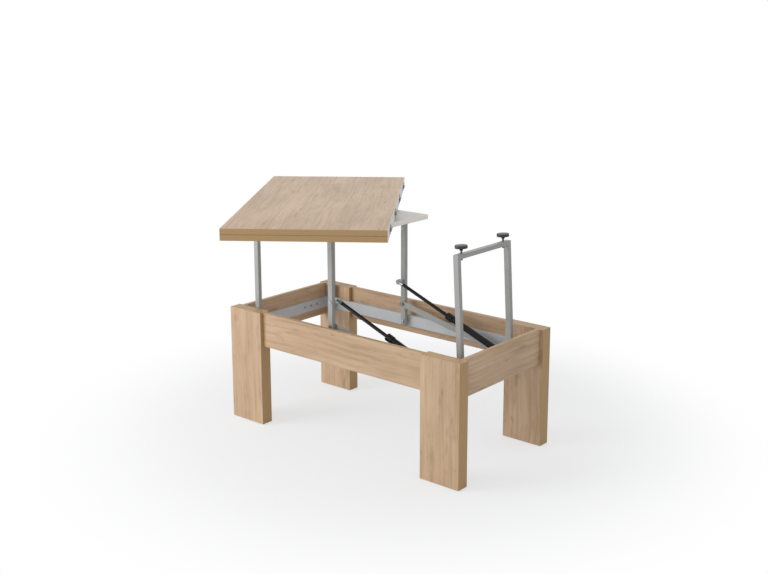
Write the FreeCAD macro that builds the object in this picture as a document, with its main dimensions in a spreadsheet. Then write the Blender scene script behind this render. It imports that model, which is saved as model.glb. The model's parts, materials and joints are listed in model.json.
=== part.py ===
"""Lift-top coffee table that turns into a dining table.

Frame: origin on the floor under the middle of the base, +X along the base towards the
support frame, -Y towards the user at the front, +Z up. The stored pose has the lift raised,
the folded top half turned on its swivel, and the support frame standing.
Lengths are millimetres, angles are degrees.
"""
import FreeCAD, Part
import Sketcher
import math
import os
import re

V = FreeCAD.Vector
doc = FreeCAD.newDocument("convertible_coffee_dining_table")

# Driving sizes: name, value, meaning
DRIVING = (
    ("base_length", 1000.0, "base over the legs, along X"),
    ("base_width", 500.0, "base over the legs, along Y"),
    ("base_height", 405.0, "floor to the rim of the base"),
    ("leg_width", 150.0, "plank leg, along X"),
    ("leg_thick", 44.0, "plank leg, along Y"),
    ("glide_radius", 10.0, "nail-on glide under a leg"),
    ("glide_height", 2.0, "glide thickness, lifts the leg off the floor"),
    ("glide_inset", 30.0, "glide centre from the ends of the leg"),
    ("apron_height", 120.0, "apron board, upright"),
    ("apron_thick", 16.0, "apron board thickness"),
    ("apron_setback", 13.0, "apron face behind the leg face"),
    ("edge_round", 1.0, "rounding of the banded board edges"),
    ("dowel_radius", 4.0, "beech dowel between apron and leg"),
    ("dowel_length", 32.0, "dowel, half in each board"),
    ("dowel_pitch", 64.0, "height between the two dowels of a joint"),
    ("fit_gap", 0.05, "radial clearance of pins, dowels and bolts"),
    ("rail_height", 40.0, "steel angle rail, upright leg"),
    ("rail_wall", 3.0, "rail thickness"),
    ("rail_lip_gap", 0.5, "rail lip to the apron"),
    ("rail_leg_gap", 1.0, "rail lip to the leg beside it"),
    ("screw_radius", 2.0, "wood screw shank"),
    ("screw_length", 12.0, "wood screw in the board"),
    ("screw_head_radius", 4.5, "pan head"),
    ("screw_head_height", 2.6, "pan head"),
    ("leg_screw_inset", 60.0, "rail screw from the end of the leg"),
    ("leg_screw_pitch", 16.0, "height between the rail screws of a leg"),
    ("cross_screw_inset", 49.0, "outer cross rail screw from the long rail"),
    ("cross_screw_pitch", 32.0, "between cross rail screws"),
    ("tube_width", 20.0, "lift tube, along the swing"),
    ("tube_depth", 15.0, "lift tube, along the pivots"),
    ("tube_wall", 1.5, "lift tube wall"),
    ("tube_round", 2.0, "lift tube outer corner"),
    ("pivot_height", 333.0, "floor to the lower arm pivots"),
    ("arm_length", 362.0, "lower pivot to upper pivot"),
    ("arm_tail", 14.0, "tube below the lower pivot"),
    ("arm_head", 11.0, "tube above the upper pivot"),
    ("arm_reach", 491.0, "right arm pivots to the support frame pivot"),
    ("left_arm_inset", 48.5, "left arm pivots from the left cross rail"),
    ("bush_thick", 6.0, "spacer between rail and arm"),
    ("bush_radius", 9.0, "spacer outer radius"),
    ("bolt_radius", 4.0, "pivot bolts and studs"),
    ("nut_flats", 13.0, "hexagon nuts and heads across flats"),
    ("nut_height", 6.5, "hexagon nut"),
    ("slide_gap", 0.4, "flat clearance between parts that turn side by side"),
    ("bracket_drop", 19.0, "upper pivots below the carrier board"),
    ("bracket_wall", 2.5, "clevis bracket plate"),
    ("bracket_length", 70.0, "clevis base plate, along X"),
    ("bracket_cheek", 30.0, "clevis cheek, along X"),
    ("bracket_tip", 9.0, "clevis cheek below the pivot"),
    ("bracket_screw", 27.0, "clevis screw from the pivot"),
    ("pin_head_radius", 6.5, "round head of a clevis pin"),
    ("pin_head_height", 2.0, "round head of a clevis pin"),
    ("carrier_overhang", 47.5, "carrier board beyond the left arm pivots"),
    ("carrier_side_gap", 1.2, "lowered carrier board to the legs beside it"),
    ("carrier_thick", 16.0, "white carrier board"),
    ("carrier_reach", 94.0, "carrier board beyond the right arm pivots"),
    ("swivel_gap", 2.0, "carrier board to the lower leaf"),
    ("swivel_plate_radius", 60.0, "swivel plate under the lower leaf"),
    ("swivel_plate_thick", 1.6, "swivel plate"),
    ("swivel_screw_circle", 46.0, "screws of the swivel plate"),
    ("swivel_stud_radius", 6.0, "swivel stud"),
    ("swivel_washer_radius", 20.0, "washer under the carrier board"),
    ("swivel_washer_thick", 2.5, "washer under the carrier board"),
    ("swivel_nut_flats", 19.0, "swivel lock nut across flats"),
    ("swivel_nut_height", 10.0, "swivel lock nut"),
    ("swivel_rest", 53.57, "turn of the top in the stored pose, clockwise from closed"),
    ("pad_radius", 15.0, "felt pad on the carrier board"),
    ("pad_thick", 1.7, "felt pad"),
    ("pad_inset", 50.0, "felt pad centre from the edges of the carrier board"),
    ("leaf_end_overhang", 20.0, "closed top beyond the base at each end"),
    ("leaf_side_overhang", 10.0, "closed top beyond the base at each side"),
    ("leaf_thick", 19.0, "top leaf"),
    ("leaf_gap", 0.6, "between the folded leaves"),
    ("rim_gap", 1.0, "lowered top above the rim of the base"),
    ("hinge_length", 50.0, "leaf hinge"),
    ("hinge_inset", 115.0, "middle of the outer hinges from the ends of the leaf"),
    ("hinge_plate", 1.5, "hinge plate, let into the edge"),
    ("hinge_height", 14.0, "hinge plate height"),
    ("hinge_lift", 1.5, "hinge plate from the seam"),
    ("knuckle_radius", 3.0, "hinge knuckle"),
    ("knuckle_gap", 0.3, "between knuckles and off the edge"),
    ("hinge_pin_radius", 1.5, "hinge pin"),
    ("hinge_screw_inset", 9.0, "hinge screw from the end of the plate"),
    ("support_inset", 48.0, "support frame pivot from the right cross rail"),
    ("support_height", 338.0, "support frame pivot above the floor"),
    ("support_lean", 3.27, "support frame leans towards the arms"),
    ("support_fold", 95.0, "support frame from upright to folded"),
    ("support_setback", 24.5, "support uprights inside the gas springs"),
    ("support_tail", 12.0, "upright below the pivot"),
    ("shaft_radius", 7.0, "support pivot shaft"),
    ("knob_rest_gap", 3.0, "levelling knobs below the lower leaf"),
    ("knob_setback", 23.0, "levelling knobs inside the uprights"),
    ("knob_radius", 20.0, "levelling knob disc"),
    ("knob_thick", 7.0, "levelling knob disc"),
    ("knob_rim", 2.5, "rounding of the disc"),
    ("knob_neck_radius", 5.5, "levelling knob neck"),
    ("knob_neck", 9.0, "levelling knob neck"),
    ("stud_radius", 4.0, "levelling stud"),
    ("stud_show", 10.0, "stud between neck and crossbar"),
    ("stud_below", 6.0, "stud below the crossbar"),
    ("insert_wall", 2.0, "threaded insert in the crossbar"),
    ("insert_flange", 1.5, "flange of the threaded insert"),
    ("link_rise", 66.0, "link bolt above the lower arm pivot"),
    ("link_height", 20.0, "flat link bar"),
    ("link_thick", 4.0, "flat link bar"),
    ("lever_thick", 5.0, "bell crank lever on the shaft"),
    ("lever_boss", 12.0, "lever round the shaft and the pin"),
    ("rivet_radius", 6.5, "rivet head"),
    ("rivet_height", 1.5, "rivet head"),
    ("gas_rise", 150.0, "gas spring stud above the lower arm pivot"),
    ("gas_setback", 22.5, "gas springs inside the inner face of the arms"),
    ("gas_anchor_setback", 31.0, "gas spring anchor before the support frame pivot"),
    ("gas_anchor_height", 303.0, "gas spring anchor above the floor"),
    ("gas_radius", 11.0, "gas cylinder"),
    ("gas_bore", 8.5, "inside the gas cylinder"),
    ("gas_mouth_gap", 52.0, "mouth of the cylinder to the stud, lowered"),
    ("gas_collar_radius", 13.0, "collar at the mouth"),
    ("gas_collar_length", 24.0, "collar at the mouth"),
    ("gas_neck", 24.0, "anchor to the foot of the cylinder"),
    ("gas_neck_radius", 4.5, "neck of the end eyes"),
    ("gas_foot_wall", 10.0, "closed foot of the cylinder"),
    ("gas_eye_radius", 9.0, "end eye"),
    ("gas_eye_thick", 10.0, "end eye"),
    ("gas_rod_radius", 6.0, "piston rod"),
    ("gas_guide", 16.0, "rod guide inside the mouth"),
    ("gas_end_gap", 12.0, "piston off the foot, lowered"),
    ("gas_socket_radius", 7.0, "end fitting round the rod"),
    ("gas_socket_length", 22.0, "end fitting round the rod"),
    ("gas_piston_gap", 0.2, "piston in the bore"),
    ("gas_piston_length", 12.0, "piston"),
    ("cheek_wall", 3.0, "end bracket plates"),
    ("cheek_boss", 11.0, "end bracket round its holes"),
)

sheet = doc.addObject("Spreadsheet::Sheet", "dims")
SIZES = {}


def add_sizes(rows):
    """Write named sizes into the next rows of the sheet."""
    for name, value, meaning in rows:
        row = len(SIZES) + 1
        sheet.set(f"A{row}", meaning)
        sheet.set(f"B{row}", repr(value))
        sheet.setAlias(f"B{row}", name)
        SIZES[name] = value


def size(name):
    return SIZES[name]


def polar(length, angle):
    """A point of the XZ plane, angle counted from +Z towards +X."""
    return (length * math.sin(math.radians(angle)), length * math.cos(math.radians(angle)))


def lift_sizes():
    """Travel of the arms from raised to lowered, and the swivel that keeps the top centred."""
    leaf_height = size("pivot_height") + size("arm_length") + size("bracket_drop")
    leaf_height += size("carrier_thick") + size("swivel_gap")
    drop = leaf_height - size("base_height") - size("rim_gap")
    lift_angle = math.degrees(math.acos(1 - drop / size("arm_length")))
    lift_shift = polar(size("arm_length"), lift_angle)[0]
    leaf_width = size("base_width") + 2 * size("leaf_side_overhang")
    return (
        ("leaf_length", size("base_length") + 2 * size("leaf_end_overhang"), "top leaf, along the hinges"),
        ("leaf_width", leaf_width, "top leaf, across the hinges"),
        ("leaf_height", leaf_height, "underside of the lower leaf, raised"),
        ("lift_angle", lift_angle, "arms from raised to lowered"),
        ("lift_shift", lift_shift, "sideways travel of the carrier board"),
        ("swivel_shift", (lift_shift - leaf_width / 2) / 2, "swivel off the middle of the leaf"),
    )


def length_sizes():
    """Places along the base, from its two ends inwards."""
    apron = size("base_length") / 2 - size("apron_setback") - size("apron_thick")
    cross_face = apron - size("rail_wall")
    support = cross_face - size("support_inset")
    right = support - size("arm_reach")
    left = size("left_arm_inset") - cross_face
    swivel = size("swivel_shift") - size("lift_shift")
    carrier_left = left - size("carrier_overhang")
    hinge_second = size("leaf_length") / 2 - size("hinge_inset")
    return (
        ("apron_side_half", apron + size("apron_thick") / 2, "middle plane of the side aprons"),
        ("cross_face", cross_face, "inner face of the cross rails from the middle"),
        ("support_place", support, "support frame pivot"),
        ("gas_anchor_place", support - size("gas_anchor_setback"), "gas spring anchor"),
        ("right_arm_place", right, "right arm pivots"),
        ("left_arm_place", left, "left arm pivots"),
        ("carrier_length", right + size("carrier_reach") - carrier_left, "white carrier board"),
        ("carrier_right", right + size("carrier_reach"), "right edge of the carrier board"),
        ("swivel_place", swivel, "swivel, raised"),
        ("pad_along", swivel - carrier_left - size("pad_inset"), "felt pads from the swivel, along X"),
        ("hinge_first", hinge_second / 3, "inner hinges from the middle of the edge"),
        ("hinge_second", hinge_second, "outer hinges from the middle of the edge"),
    )


def width_sizes():
    """Planes across the base, from its sides inwards."""
    apron = size("base_width") / 2 - size("apron_setback") - size("apron_thick")
    rail_face = size("base_width") / 2 - size("leg_thick") - size("rail_wall")
    arm_half = rail_face - size("bush_thick") - size("tube_depth") / 2
    arm_face = arm_half - size("tube_depth") / 2
    link_face = arm_face - size("slide_gap") - size("link_thick")
    gas_half = arm_face - size("gas_setback")
    support_half = gas_half - size("support_setback")
    carrier_half = size("base_width") / 2 - size("leg_thick") - size("carrier_side_gap")
    return (
        ("apron_long_half", apron + size("apron_thick") / 2, "middle plane of the long aprons"),
        ("rail_face", rail_face, "inner face of the long rails from the middle"),
        ("arm_half", arm_half, "arms from the middle"),
        ("arm_face", arm_face, "inner face of the arms from the middle"),
        ("link_face", link_face, "inner face of the links from the middle"),
        ("lever_face", link_face - size("slide_gap"), "outer face of the levers from the middle"),
        ("gas_half", gas_half, "gas springs from the middle"),
        ("support_half", support_half, "support uprights from the middle"),
        ("knob_half", support_half - size("knob_setback"), "levelling knobs from the middle"),
        ("carrier_width", 2 * carrier_half, "white carrier board, along Y"),
        ("pad_across", carrier_half - size("swivel_shift") - size("pad_inset"),
         "felt pads from the swivel, along Y"),
    )


def level_sizes():
    """Heights that several pieces share, and the hinge pins."""
    return (
        ("carrier_base", size("leaf_height") - size("swivel_gap") - size("carrier_thick"),
         "underside of the carrier board, raised"),
        ("dowel_level", size("base_height") - size("apron_height") / 2, "middle of the apron joints"),
        ("hinge_axis", size("knuckle_radius") + size("knuckle_gap"), "hinge pins off the edge"),
    )


def linkage_sizes():
    """Bell crank and link whose length is the same raised and lowered, and the gas spring line."""
    lift = size("lift_angle")
    swing = (size("support_fold") - size("support_lean")) / 2
    across = size("arm_reach")
    up = size("support_height") - size("pivot_height")
    raised = (across, up - size("link_rise"))
    bolt = polar(size("link_rise"), lift)
    lowered = (across - bolt[0], up - bolt[1])
    sine = math.sin(math.radians(swing))
    cosine = math.cos(math.radians(swing))
    lever = (lowered[0] ** 2 + lowered[1] ** 2 - raised[0] ** 2 - raised[1] ** 2) / 2
    lever /= -(raised[0] + lowered[0]) * sine + (lowered[1] - raised[1]) * cosine
    span = (raised[0] - lever * sine, raised[1] - lever * cosine)
    anchor = (across - size("gas_anchor_setback"), size("pivot_height") - size("gas_anchor_height"))
    gas = (anchor[0], anchor[1] + size("gas_rise"))
    stud = polar(size("gas_rise"), lift)
    low = (anchor[0] - stud[0], anchor[1] + stud[1])
    short = math.hypot(low[0], low[1])
    knob_top = size("leaf_height") - size("knob_rest_gap") - size("support_height")
    lean = math.radians(size("support_lean"))
    rise = (knob_top - size("knob_radius") * math.sin(lean)) / math.cos(lean) - size("knob_thick")
    rise -= size("knob_neck") + size("stud_show") + size("tube_depth") / 2
    return (
        ("lever_swing", swing, "lever to each side of straight down"),
        ("lever_radius", lever, "shaft to the link pin of the lever"),
        ("link_length", math.hypot(span[0], span[1]), "link bar between its pins"),
        ("link_tilt", math.degrees(math.atan2(-span[1], span[0])), "link bar below level"),
        ("gas_length", math.hypot(gas[0], gas[1]), "gas spring between its pins, extended"),
        ("gas_tilt", math.degrees(math.atan2(gas[1], gas[0])), "gas spring above level"),
        ("gas_mouth", short - size("gas_mouth_gap"), "anchor to the mouth of the cylinder"),
        ("gas_rod_length", short - size("gas_neck") - size("gas_foot_wall") - size("gas_end_gap"),
         "stud to the face of the piston"),
        ("support_rise", rise, "support pivot to the middle of the crossbar"),
    )


add_sizes(DRIVING)
add_sizes(lift_sizes())
add_sizes(length_sizes())
add_sizes(width_sizes())
add_sizes(level_sizes())
add_sizes(linkage_sizes())
doc.recompute()

NEAR = 1e-6
SIDES = {"front": -1, "rear": 1}
ENDS = {"left": -1, "right": 1}
PARTS = []


def expression(text):
    """Turn size names in a formula into references to the sheet."""
    return re.sub(r"[a-z_]+", lambda word: "dims." + word.group() if word.group() in SIZES else word.group(),
                  str(text))


def bind(item, **formulas):
    for name, text in formulas.items():
        item.setExpression(name, expression(text))


def place(item, x="0", y="0", z="0", axis=None, angle="0"):
    """Bind where an object stands, and its turn about an axis."""
    if axis:
        item.Placement = FreeCAD.Placement(V(0, 0, 0), FreeCAD.Rotation(axis, 1))
        item.setExpression("Placement.Rotation.Angle", expression(angle))
    for name, text in (("x", x), ("y", y), ("z", z)):
        item.setExpression("Placement.Base." + name, expression(text))
    return item


def keep(item, label):
    """Name an object as a piece of the product."""
    item.Label = label
    PARTS.append(item)
    return item


def group(label, items):
    """Like pieces that share one name."""
    item = doc.addObject("Part::Compound", label + "_set")
    item.Links = items
    return keep(item, label)


def new_body(name):
    return doc.addObject("PartDesign::Body", name)


def new_sketch(body, role, offset="0"):
    """Empty sketch parallel to one of the body's origin planes."""
    sketch = body.newObject("Sketcher::SketchObject", "sketch")
    plane = next(item for item in body.Origin.OriginFeatures if item.Role == role)
    sketch.AttachmentSupport = [(plane, "")]
    sketch.MapMode = "FlatFace"
    sketch.setExpression("AttachmentOffset.Base.z", expression(offset))
    return sketch


def fix_point(sketch, geometry, point, x, y, start):
    """Hold a sketch point at bound distances from the origin."""
    for kind, text, value in (("DistanceX", x, start.x), ("DistanceY", y, start.y)):
        index = sketch.addConstraint(Sketcher.Constraint(kind, -1, 1, geometry, point, value))
        sketch.setExpression(f"Constraints[{index}]", expression(text))


def polygon(sketch, corners):
    """Closed outline through corners given as pairs of formulas."""
    first = sketch.GeometryCount
    count = len(corners)
    turns = [step * math.tau / count for step in range(count)]
    ring = [V(math.cos(turn), math.sin(turn), 0) for turn in turns]
    for step in range(count):
        sketch.addGeometry(Part.LineSegment(ring[step], ring[(step + 1) % count]), False)
    for step in range(count):
        following = first + (step + 1) % count
        sketch.addConstraint(Sketcher.Constraint("Coincident", first + step, 2, following, 1))
    for step, (x, y) in enumerate(corners):
        fix_point(sketch, first + step, 1, x, y, ring[step])


def rectangle(sketch, x0, y0, x1, y1):
    polygon(sketch, [(x0, y0), (x1, y0), (x1, y1), (x0, y1)])


def circle(sketch, x, y, radius):
    index = sketch.addGeometry(Part.Circle(V(1, 1, 0), V(0, 0, 1), 1), False)
    fix_point(sketch, index, 3, x, y, V(1, 1, 0))
    constraint = sketch.addConstraint(Sketcher.Constraint("Radius", index, 1))
    sketch.setExpression(f"Constraints[{constraint}]", expression(radius))


def pad(body, sketch, length, both=False):
    feature = body.newObject("PartDesign::Pad", "pad")
    feature.Profile = sketch
    feature.Midplane = both
    bind(feature, Length=length)
    return feature


def drill(body, role, offset, holes, depth):
    """Round holes centred on a plane, as deep to each side; each hole is x, y, radius."""
    sketch = new_sketch(body, role, offset)
    for x, y, radius in holes:
        circle(sketch, x, y, radius)
    feature = body.newObject("PartDesign::Pocket", "holes")
    feature.Profile = sketch
    feature.Midplane = True
    bind(feature, Length=f"2 * ({depth})")
    return feature


def cut(body, sketch, depth):
    """Cut a profile out, as deep to each side of its plane."""
    feature = body.newObject("PartDesign::Pocket", "cut")
    feature.Profile = sketch
    feature.Midplane = True
    bind(feature, Length=f"2 * ({depth})")
    return feature


def turned(body, outline):
    """Solid of revolution about the local X axis; the outline is pairs of along, radius."""
    sketch = new_sketch(body, "XZ_Plane")
    polygon(sketch, outline)
    feature = body.newObject("PartDesign::Revolution", "turned")
    feature.Profile = sketch
    feature.ReferenceAxis = (sketch, ["H_Axis"])
    feature.Angle = 360
    return feature


def round_edges(body, radius, chosen):
    """Fillet the edges of the body's last feature that a test picks."""
    doc.recompute()
    base = body.Tip
    names = [f"Edge{number}" for number, edge in enumerate(base.Shape.Edges, 1) if chosen(edge)]
    feature = body.newObject("PartDesign::Fillet", "rounding")
    feature.Base = (base, names)
    bind(feature, Radius=radius)
    return feature


def is_line(edge):
    return edge.Curve.TypeId == "Part::GeomLine"


def along(edge, axis):
    """True for a straight edge that runs along an axis."""
    return is_line(edge) and abs(abs(edge.tangentAt(edge.FirstParameter).dot(axis)) - 1) < NEAR


def bolt(name, radius, length):
    """Plain shank along +Y from the local origin."""
    shank = doc.addObject("Part::Cylinder", name)
    bind(shank, Radius=radius, Height=length)
    return shank


def along_y(item, x, y, z, towards):
    """Stand a cylinder or prism along +Y or -Y from a point."""
    return place(item, x, y, z, V(-towards, 0, 0), "90")


def hexagon(name, flats, height):
    """Hexagon nut or head."""
    prism = doc.addObject("Part::Prism", name)
    prism.Polygon = 6
    bind(prism, Circumradius=f"{flats} / sqrt(3)", Height=height)
    return prism


def bored(name, solid, hole):
    item = doc.addObject("Part::Cut", name)
    item.Base = solid
    item.Tool = hole
    return item


def joined(name, items):
    item = doc.addObject("Part::MultiFuse", name)
    item.Shapes = items
    return item


def collar(name, outer, inner, height, x, y, z, towards):
    """Ring along +Y or -Y from a point."""
    tube = doc.addObject("Part::Cylinder", name + "_outer")
    bind(tube, Radius=outer, Height=height)
    along_y(tube, x, y, z, towards)
    hole = doc.addObject("Part::Cylinder", name + "_bore")
    bind(hole, Radius=inner, Height=height)
    along_y(hole, x, y, z, towards)
    return bored(name, tube, hole)


def nut(name, x, y, z, towards):
    """Hexagon nut with its bore on a bolt that runs along Y."""
    body = along_y(hexagon(name + "_body", "nut_flats", "nut_height"), x, y, z, towards)
    hole = along_y(bolt(name + "_bore", "bolt_radius", "nut_height"), x, y, z, towards)
    return bored(name, body, hole)


def board(name, length, width, thick):
    """Banded board, centred on its local origin in X and Y, standing on Z = 0, edges rounded."""
    body = new_body(name)
    sketch = new_sketch(body, "XY_Plane")
    rectangle(sketch, f"-{length} / 2", f"-{width} / 2", f"{length} / 2", f"{width} / 2")
    pad(body, sketch, thick)
    round_edges(body, "edge_round", is_line)
    return body


OUTER_SCREW = "(rail_face - cross_screw_inset)"
MIDDLE_SCREW = "(rail_face - cross_screw_inset - cross_screw_pitch)"
INNER_SCREW = "(rail_face - cross_screw_inset - 2 * cross_screw_pitch)"
CROSS_SCREWS = {"left": (OUTER_SCREW, MIDDLE_SCREW, INNER_SCREW), "right": (MIDDLE_SCREW, INNER_SCREW)}
DOWEL_ROWS = ("dowel_level - dowel_pitch / 2", "dowel_level + dowel_pitch / 2")
DOWEL_HOLE = "dowel_radius + fit_gap"
SCREW_HOLE = "screw_radius + fit_gap"


def legs():
    """Four plank legs with the holes of their dowels and rail screws."""
    for end, ex in ENDS.items():
        for side, sy in SIDES.items():
            body = board(f"leg_{side}_{end}_plank", "leg_width", "leg_thick", "base_height - glide_height")
            depth = f"{sy} * (leg_thick / 2 - apron_setback - apron_thick / 2)"
            rows = [f"{row} - glide_height" for row in DOWEL_ROWS]
            drill(body, "YZ_Plane", f"{-ex} * leg_width / 2", [(depth, row, DOWEL_HOLE) for row in rows],
                  "dowel_length / 2")
            inner = f"{sy} * leg_thick / 2"
            across = f"{ex} * (leg_width / 2 - apron_setback - apron_thick / 2)"
            drill(body, "XZ_Plane", inner, [(across, row, DOWEL_HOLE) for row in rows], "dowel_length / 2")
            screw = f"{ex} * (leg_width / 2 - leg_screw_inset)"
            screws = [(screw, f"pivot_height - glide_height + {row} * leg_screw_pitch / 2", SCREW_HOLE)
                      for row in (-1, 1)]
            drill(body, "XZ_Plane", inner, screws, "screw_length")
            place(body, f"{ex} * (base_length - leg_width) / 2", f"{sy} * (base_width - leg_thick) / 2",
                  "glide_height")
            keep(body, f"leg_{side}_{end}")


def glides():
    """Two nail-on glides under each leg."""
    items = []
    for ex in ENDS.values():
        for sy in SIDES.values():
            for end in (-1, 1):
                disc = doc.addObject("Part::Cylinder", "glide")
                bind(disc, Radius="glide_radius", Height="glide_height")
                across = f"{ex} * (base_length - leg_width) / 2 + {end} * (leg_width / 2 - glide_inset)"
                items.append(place(disc, across, f"{sy} * (base_width - leg_thick) / 2"))
    group("leg_glides", items)


def aprons():
    """Long aprons between the legs, and side aprons between the front and rear legs."""
    base = "base_height - apron_height"
    holes = [("0", f"{row} - base_height + apron_height", DOWEL_HOLE) for row in DOWEL_ROWS]
    long = "(base_length - 2 * leg_width)"
    side = "(base_width - 2 * leg_thick)"
    for name, sy in SIDES.items():
        body = board(f"apron_{name}_board", long, "apron_thick", "apron_height")
        for ex in ENDS.values():
            drill(body, "YZ_Plane", f"{ex} * {long} / 2", holes, "dowel_length / 2")
        keep(place(body, "0", f"{sy} * apron_long_half", base), f"apron_{name}")
    for name, ex in ENDS.items():
        body = board(f"apron_{name}_board", "apron_thick", side, "apron_height")
        for sy in SIDES.values():
            drill(body, "XZ_Plane", f"{sy} * {side} / 2", holes, "dowel_length / 2")
        screws = [(f"{sy} * {across}", "pivot_height - base_height + apron_height", SCREW_HOLE)
                  for sy in SIDES.values() for across in CROSS_SCREWS[name]]
        drill(body, "YZ_Plane", f"{-ex} * apron_thick / 2", screws, "screw_length")
        keep(place(body, f"{ex} * apron_side_half", "0", base), f"apron_{name}")


def dowels():
    """Beech dowels, two in each of the eight apron joints."""
    items = []
    for ex in ENDS.values():
        for sy in SIDES.values():
            for row in DOWEL_ROWS:
                peg = bolt("dowel", "dowel_radius", "dowel_length")
                items.append(along_y(peg, f"{ex} * apron_side_half",
                                     f"{sy} * (base_width / 2 - leg_thick) - dowel_length / 2", row, 1))
                peg = bolt("dowel", "dowel_radius", "dowel_length")
                items.append(place(peg, f"{ex} * (base_length / 2 - leg_width) - dowel_length / 2",
                                   f"{sy} * apron_long_half", row, V(0, 1, 0), "90"))
    group("apron_dowels", items)


def rails():
    """Long angle rails with a lip towards the apron, and flat cross rails at the ends."""
    half = "rail_height / 2"
    for name, sy in SIDES.items():
        body = new_body(f"rail_{name}_angle")
        sketch = new_sketch(body, "YZ_Plane")
        lip = f"{sy} * (base_width / 2 - apron_setback - apron_thick - rail_lip_gap)"
        face = f"{sy} * rail_face"
        back = f"{sy} * (rail_face + rail_wall)"
        polygon(sketch, [(face, f"-{half}"), (back, f"-{half}"), (back, f"{half} - rail_wall"),
                         (lip, f"{half} - rail_wall"), (lip, half), (face, half)])
        pad(body, sketch, "2 * cross_face", True)
        for ex in ENDS.values():
            notch = new_sketch(body, "XY_Plane", half)
            rectangle(notch, f"{ex} * (base_length / 2 - leg_width - rail_leg_gap)", back,
                      f"{ex} * base_length / 2", f"{sy} * base_width / 2")
            cut(body, notch, "rail_wall")
        holes = [(f"{ex} * (base_length / 2 - leg_screw_inset)", f"{row} * leg_screw_pitch / 2", SCREW_HOLE)
                 for ex in ENDS.values() for row in (-1, 1)]
        drill(body, "XZ_Plane", f"-({face})", holes, "2 * rail_wall")
        keep(place(body, "0", "0", "pivot_height"), f"rail_{name}")
    for name, ex in ENDS.items():
        body = new_body(f"cross_rail_{name}_bar")
        sketch = new_sketch(body, "YZ_Plane", f"{ex} * (cross_face + rail_wall / 2)")
        rectangle(sketch, "-(rail_face + rail_wall)", f"-{half}", "rail_face + rail_wall", half)
        pad(body, sketch, "rail_wall", True)
        holes = [(f"{sy} * {across}", "0", SCREW_HOLE)
                 for sy in SIDES.values() for across in CROSS_SCREWS[name]]
        drill(body, "YZ_Plane", f"{ex} * cross_face", holes, "2 * rail_wall")
        keep(place(body, "0", "0", "pivot_height"), f"cross_rail_{name}")


def wood_screw(grip):
    """Pan head screw along local X: head outside, shank through a plate and into a board."""
    body = new_body("screw")
    turned(body, [("-screw_head_height", "0"), (f"{grip} + screw_length - fit_gap", "0"),
                  (f"{grip} + screw_length - fit_gap", "screw_radius"), ("0", "screw_radius"),
                  ("0", "screw_head_radius"), ("-screw_head_height * 0.4", "screw_head_radius"),
                  ("-screw_head_height", "screw_head_radius * 0.6")])
    return body


def rail_screws():
    """Screws that hold the long rails to the legs and the cross rails to the side aprons."""
    items = []
    for sy in SIDES.values():
        for end, ex in ENDS.items():
            for row in (-1, 1):
                screw = wood_screw("rail_wall")
                items.append(place(screw, f"{ex} * (base_length / 2 - leg_screw_inset)", f"{sy} * rail_face",
                                   f"pivot_height + {row} * leg_screw_pitch / 2", V(0, 0, sy), "90"))
            for across in CROSS_SCREWS[end]:
                screw = wood_screw("rail_wall")
                items.append(place(screw, f"{ex} * cross_face", f"{sy} * {across}", "pivot_height",
                                   V(0, 0, 1), "0" if ex > 0 else "180"))
    group("rail_screws", items)


def arm_places():
    """Name, X place and side of the four lift arms."""
    return [(side, end, f"{end}_arm_place", sy) for side, sy in SIDES.items() for end in ENDS]


def tube_profile(sketch, width, depth):
    """Rectangular tube section about the sketch origin."""
    rectangle(sketch, f"-{width} / 2", f"-{depth} / 2", f"{width} / 2", f"{depth} / 2")
    rectangle(sketch, f"tube_wall - {width} / 2", f"tube_wall - {depth} / 2",
              f"{width} / 2 - tube_wall", f"{depth} / 2 - tube_wall")


def outer_corner(width, depth):
    """Test for the long outer corners of a tube that stands along Z."""
    def chosen(edge):
        middle = edge.CenterOfMass
        at_corner = abs(abs(middle.x) - width / 2) < NEAR and abs(abs(middle.y) - depth / 2) < NEAR
        return at_corner and along(edge, V(0, 0, 1))
    return chosen


def arms():
    """Four lift arms of rectangular tube, drilled for their pivots."""
    for side, end, x, sy in arm_places():
        body = new_body(f"arm_{side}_{end}_tube")
        sketch = new_sketch(body, "XY_Plane", "-arm_tail")
        tube_profile(sketch, "tube_width", "tube_depth")
        pad(body, sketch, "arm_tail + arm_length + arm_head")
        round_edges(body, "tube_round", outer_corner(size("tube_width"), size("tube_depth")))
        levels = ["0", "arm_length"]
        if end == "right":
            levels += ["link_rise", "gas_rise"]
        holes = [("0", level, "bolt_radius + fit_gap") for level in levels]
        drill(body, "XZ_Plane", "0", holes, "tube_depth")
        keep(place(body, x, f"{sy} * arm_half", "pivot_height"), f"lift_arm_{side}_{end}")


def arm_pivots():
    """Weld studs on the rails with spacers and lock nuts, which carry the arms."""
    studs = []
    bushes = []
    nuts = []
    for side, end, x, sy in arm_places():
        stud = bolt("pivot_stud", "bolt_radius", "rail_face - arm_face + slide_gap + nut_height")
        studs.append(along_y(stud, x, f"{sy} * rail_face", "pivot_height", -sy))
        bushes.append(collar("pivot_bush", "bush_radius", "bolt_radius + fit_gap", "bush_thick - slide_gap",
                             x, f"{sy} * rail_face", "pivot_height", -sy))
        nuts.append(nut("pivot_nut", x, f"{sy} * (arm_face - slide_gap)", "pivot_height", -sy))
    group("arm_pivot_studs", studs)
    group("arm_pivot_bushes", bushes)
    group("arm_pivot_nuts", nuts)


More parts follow.
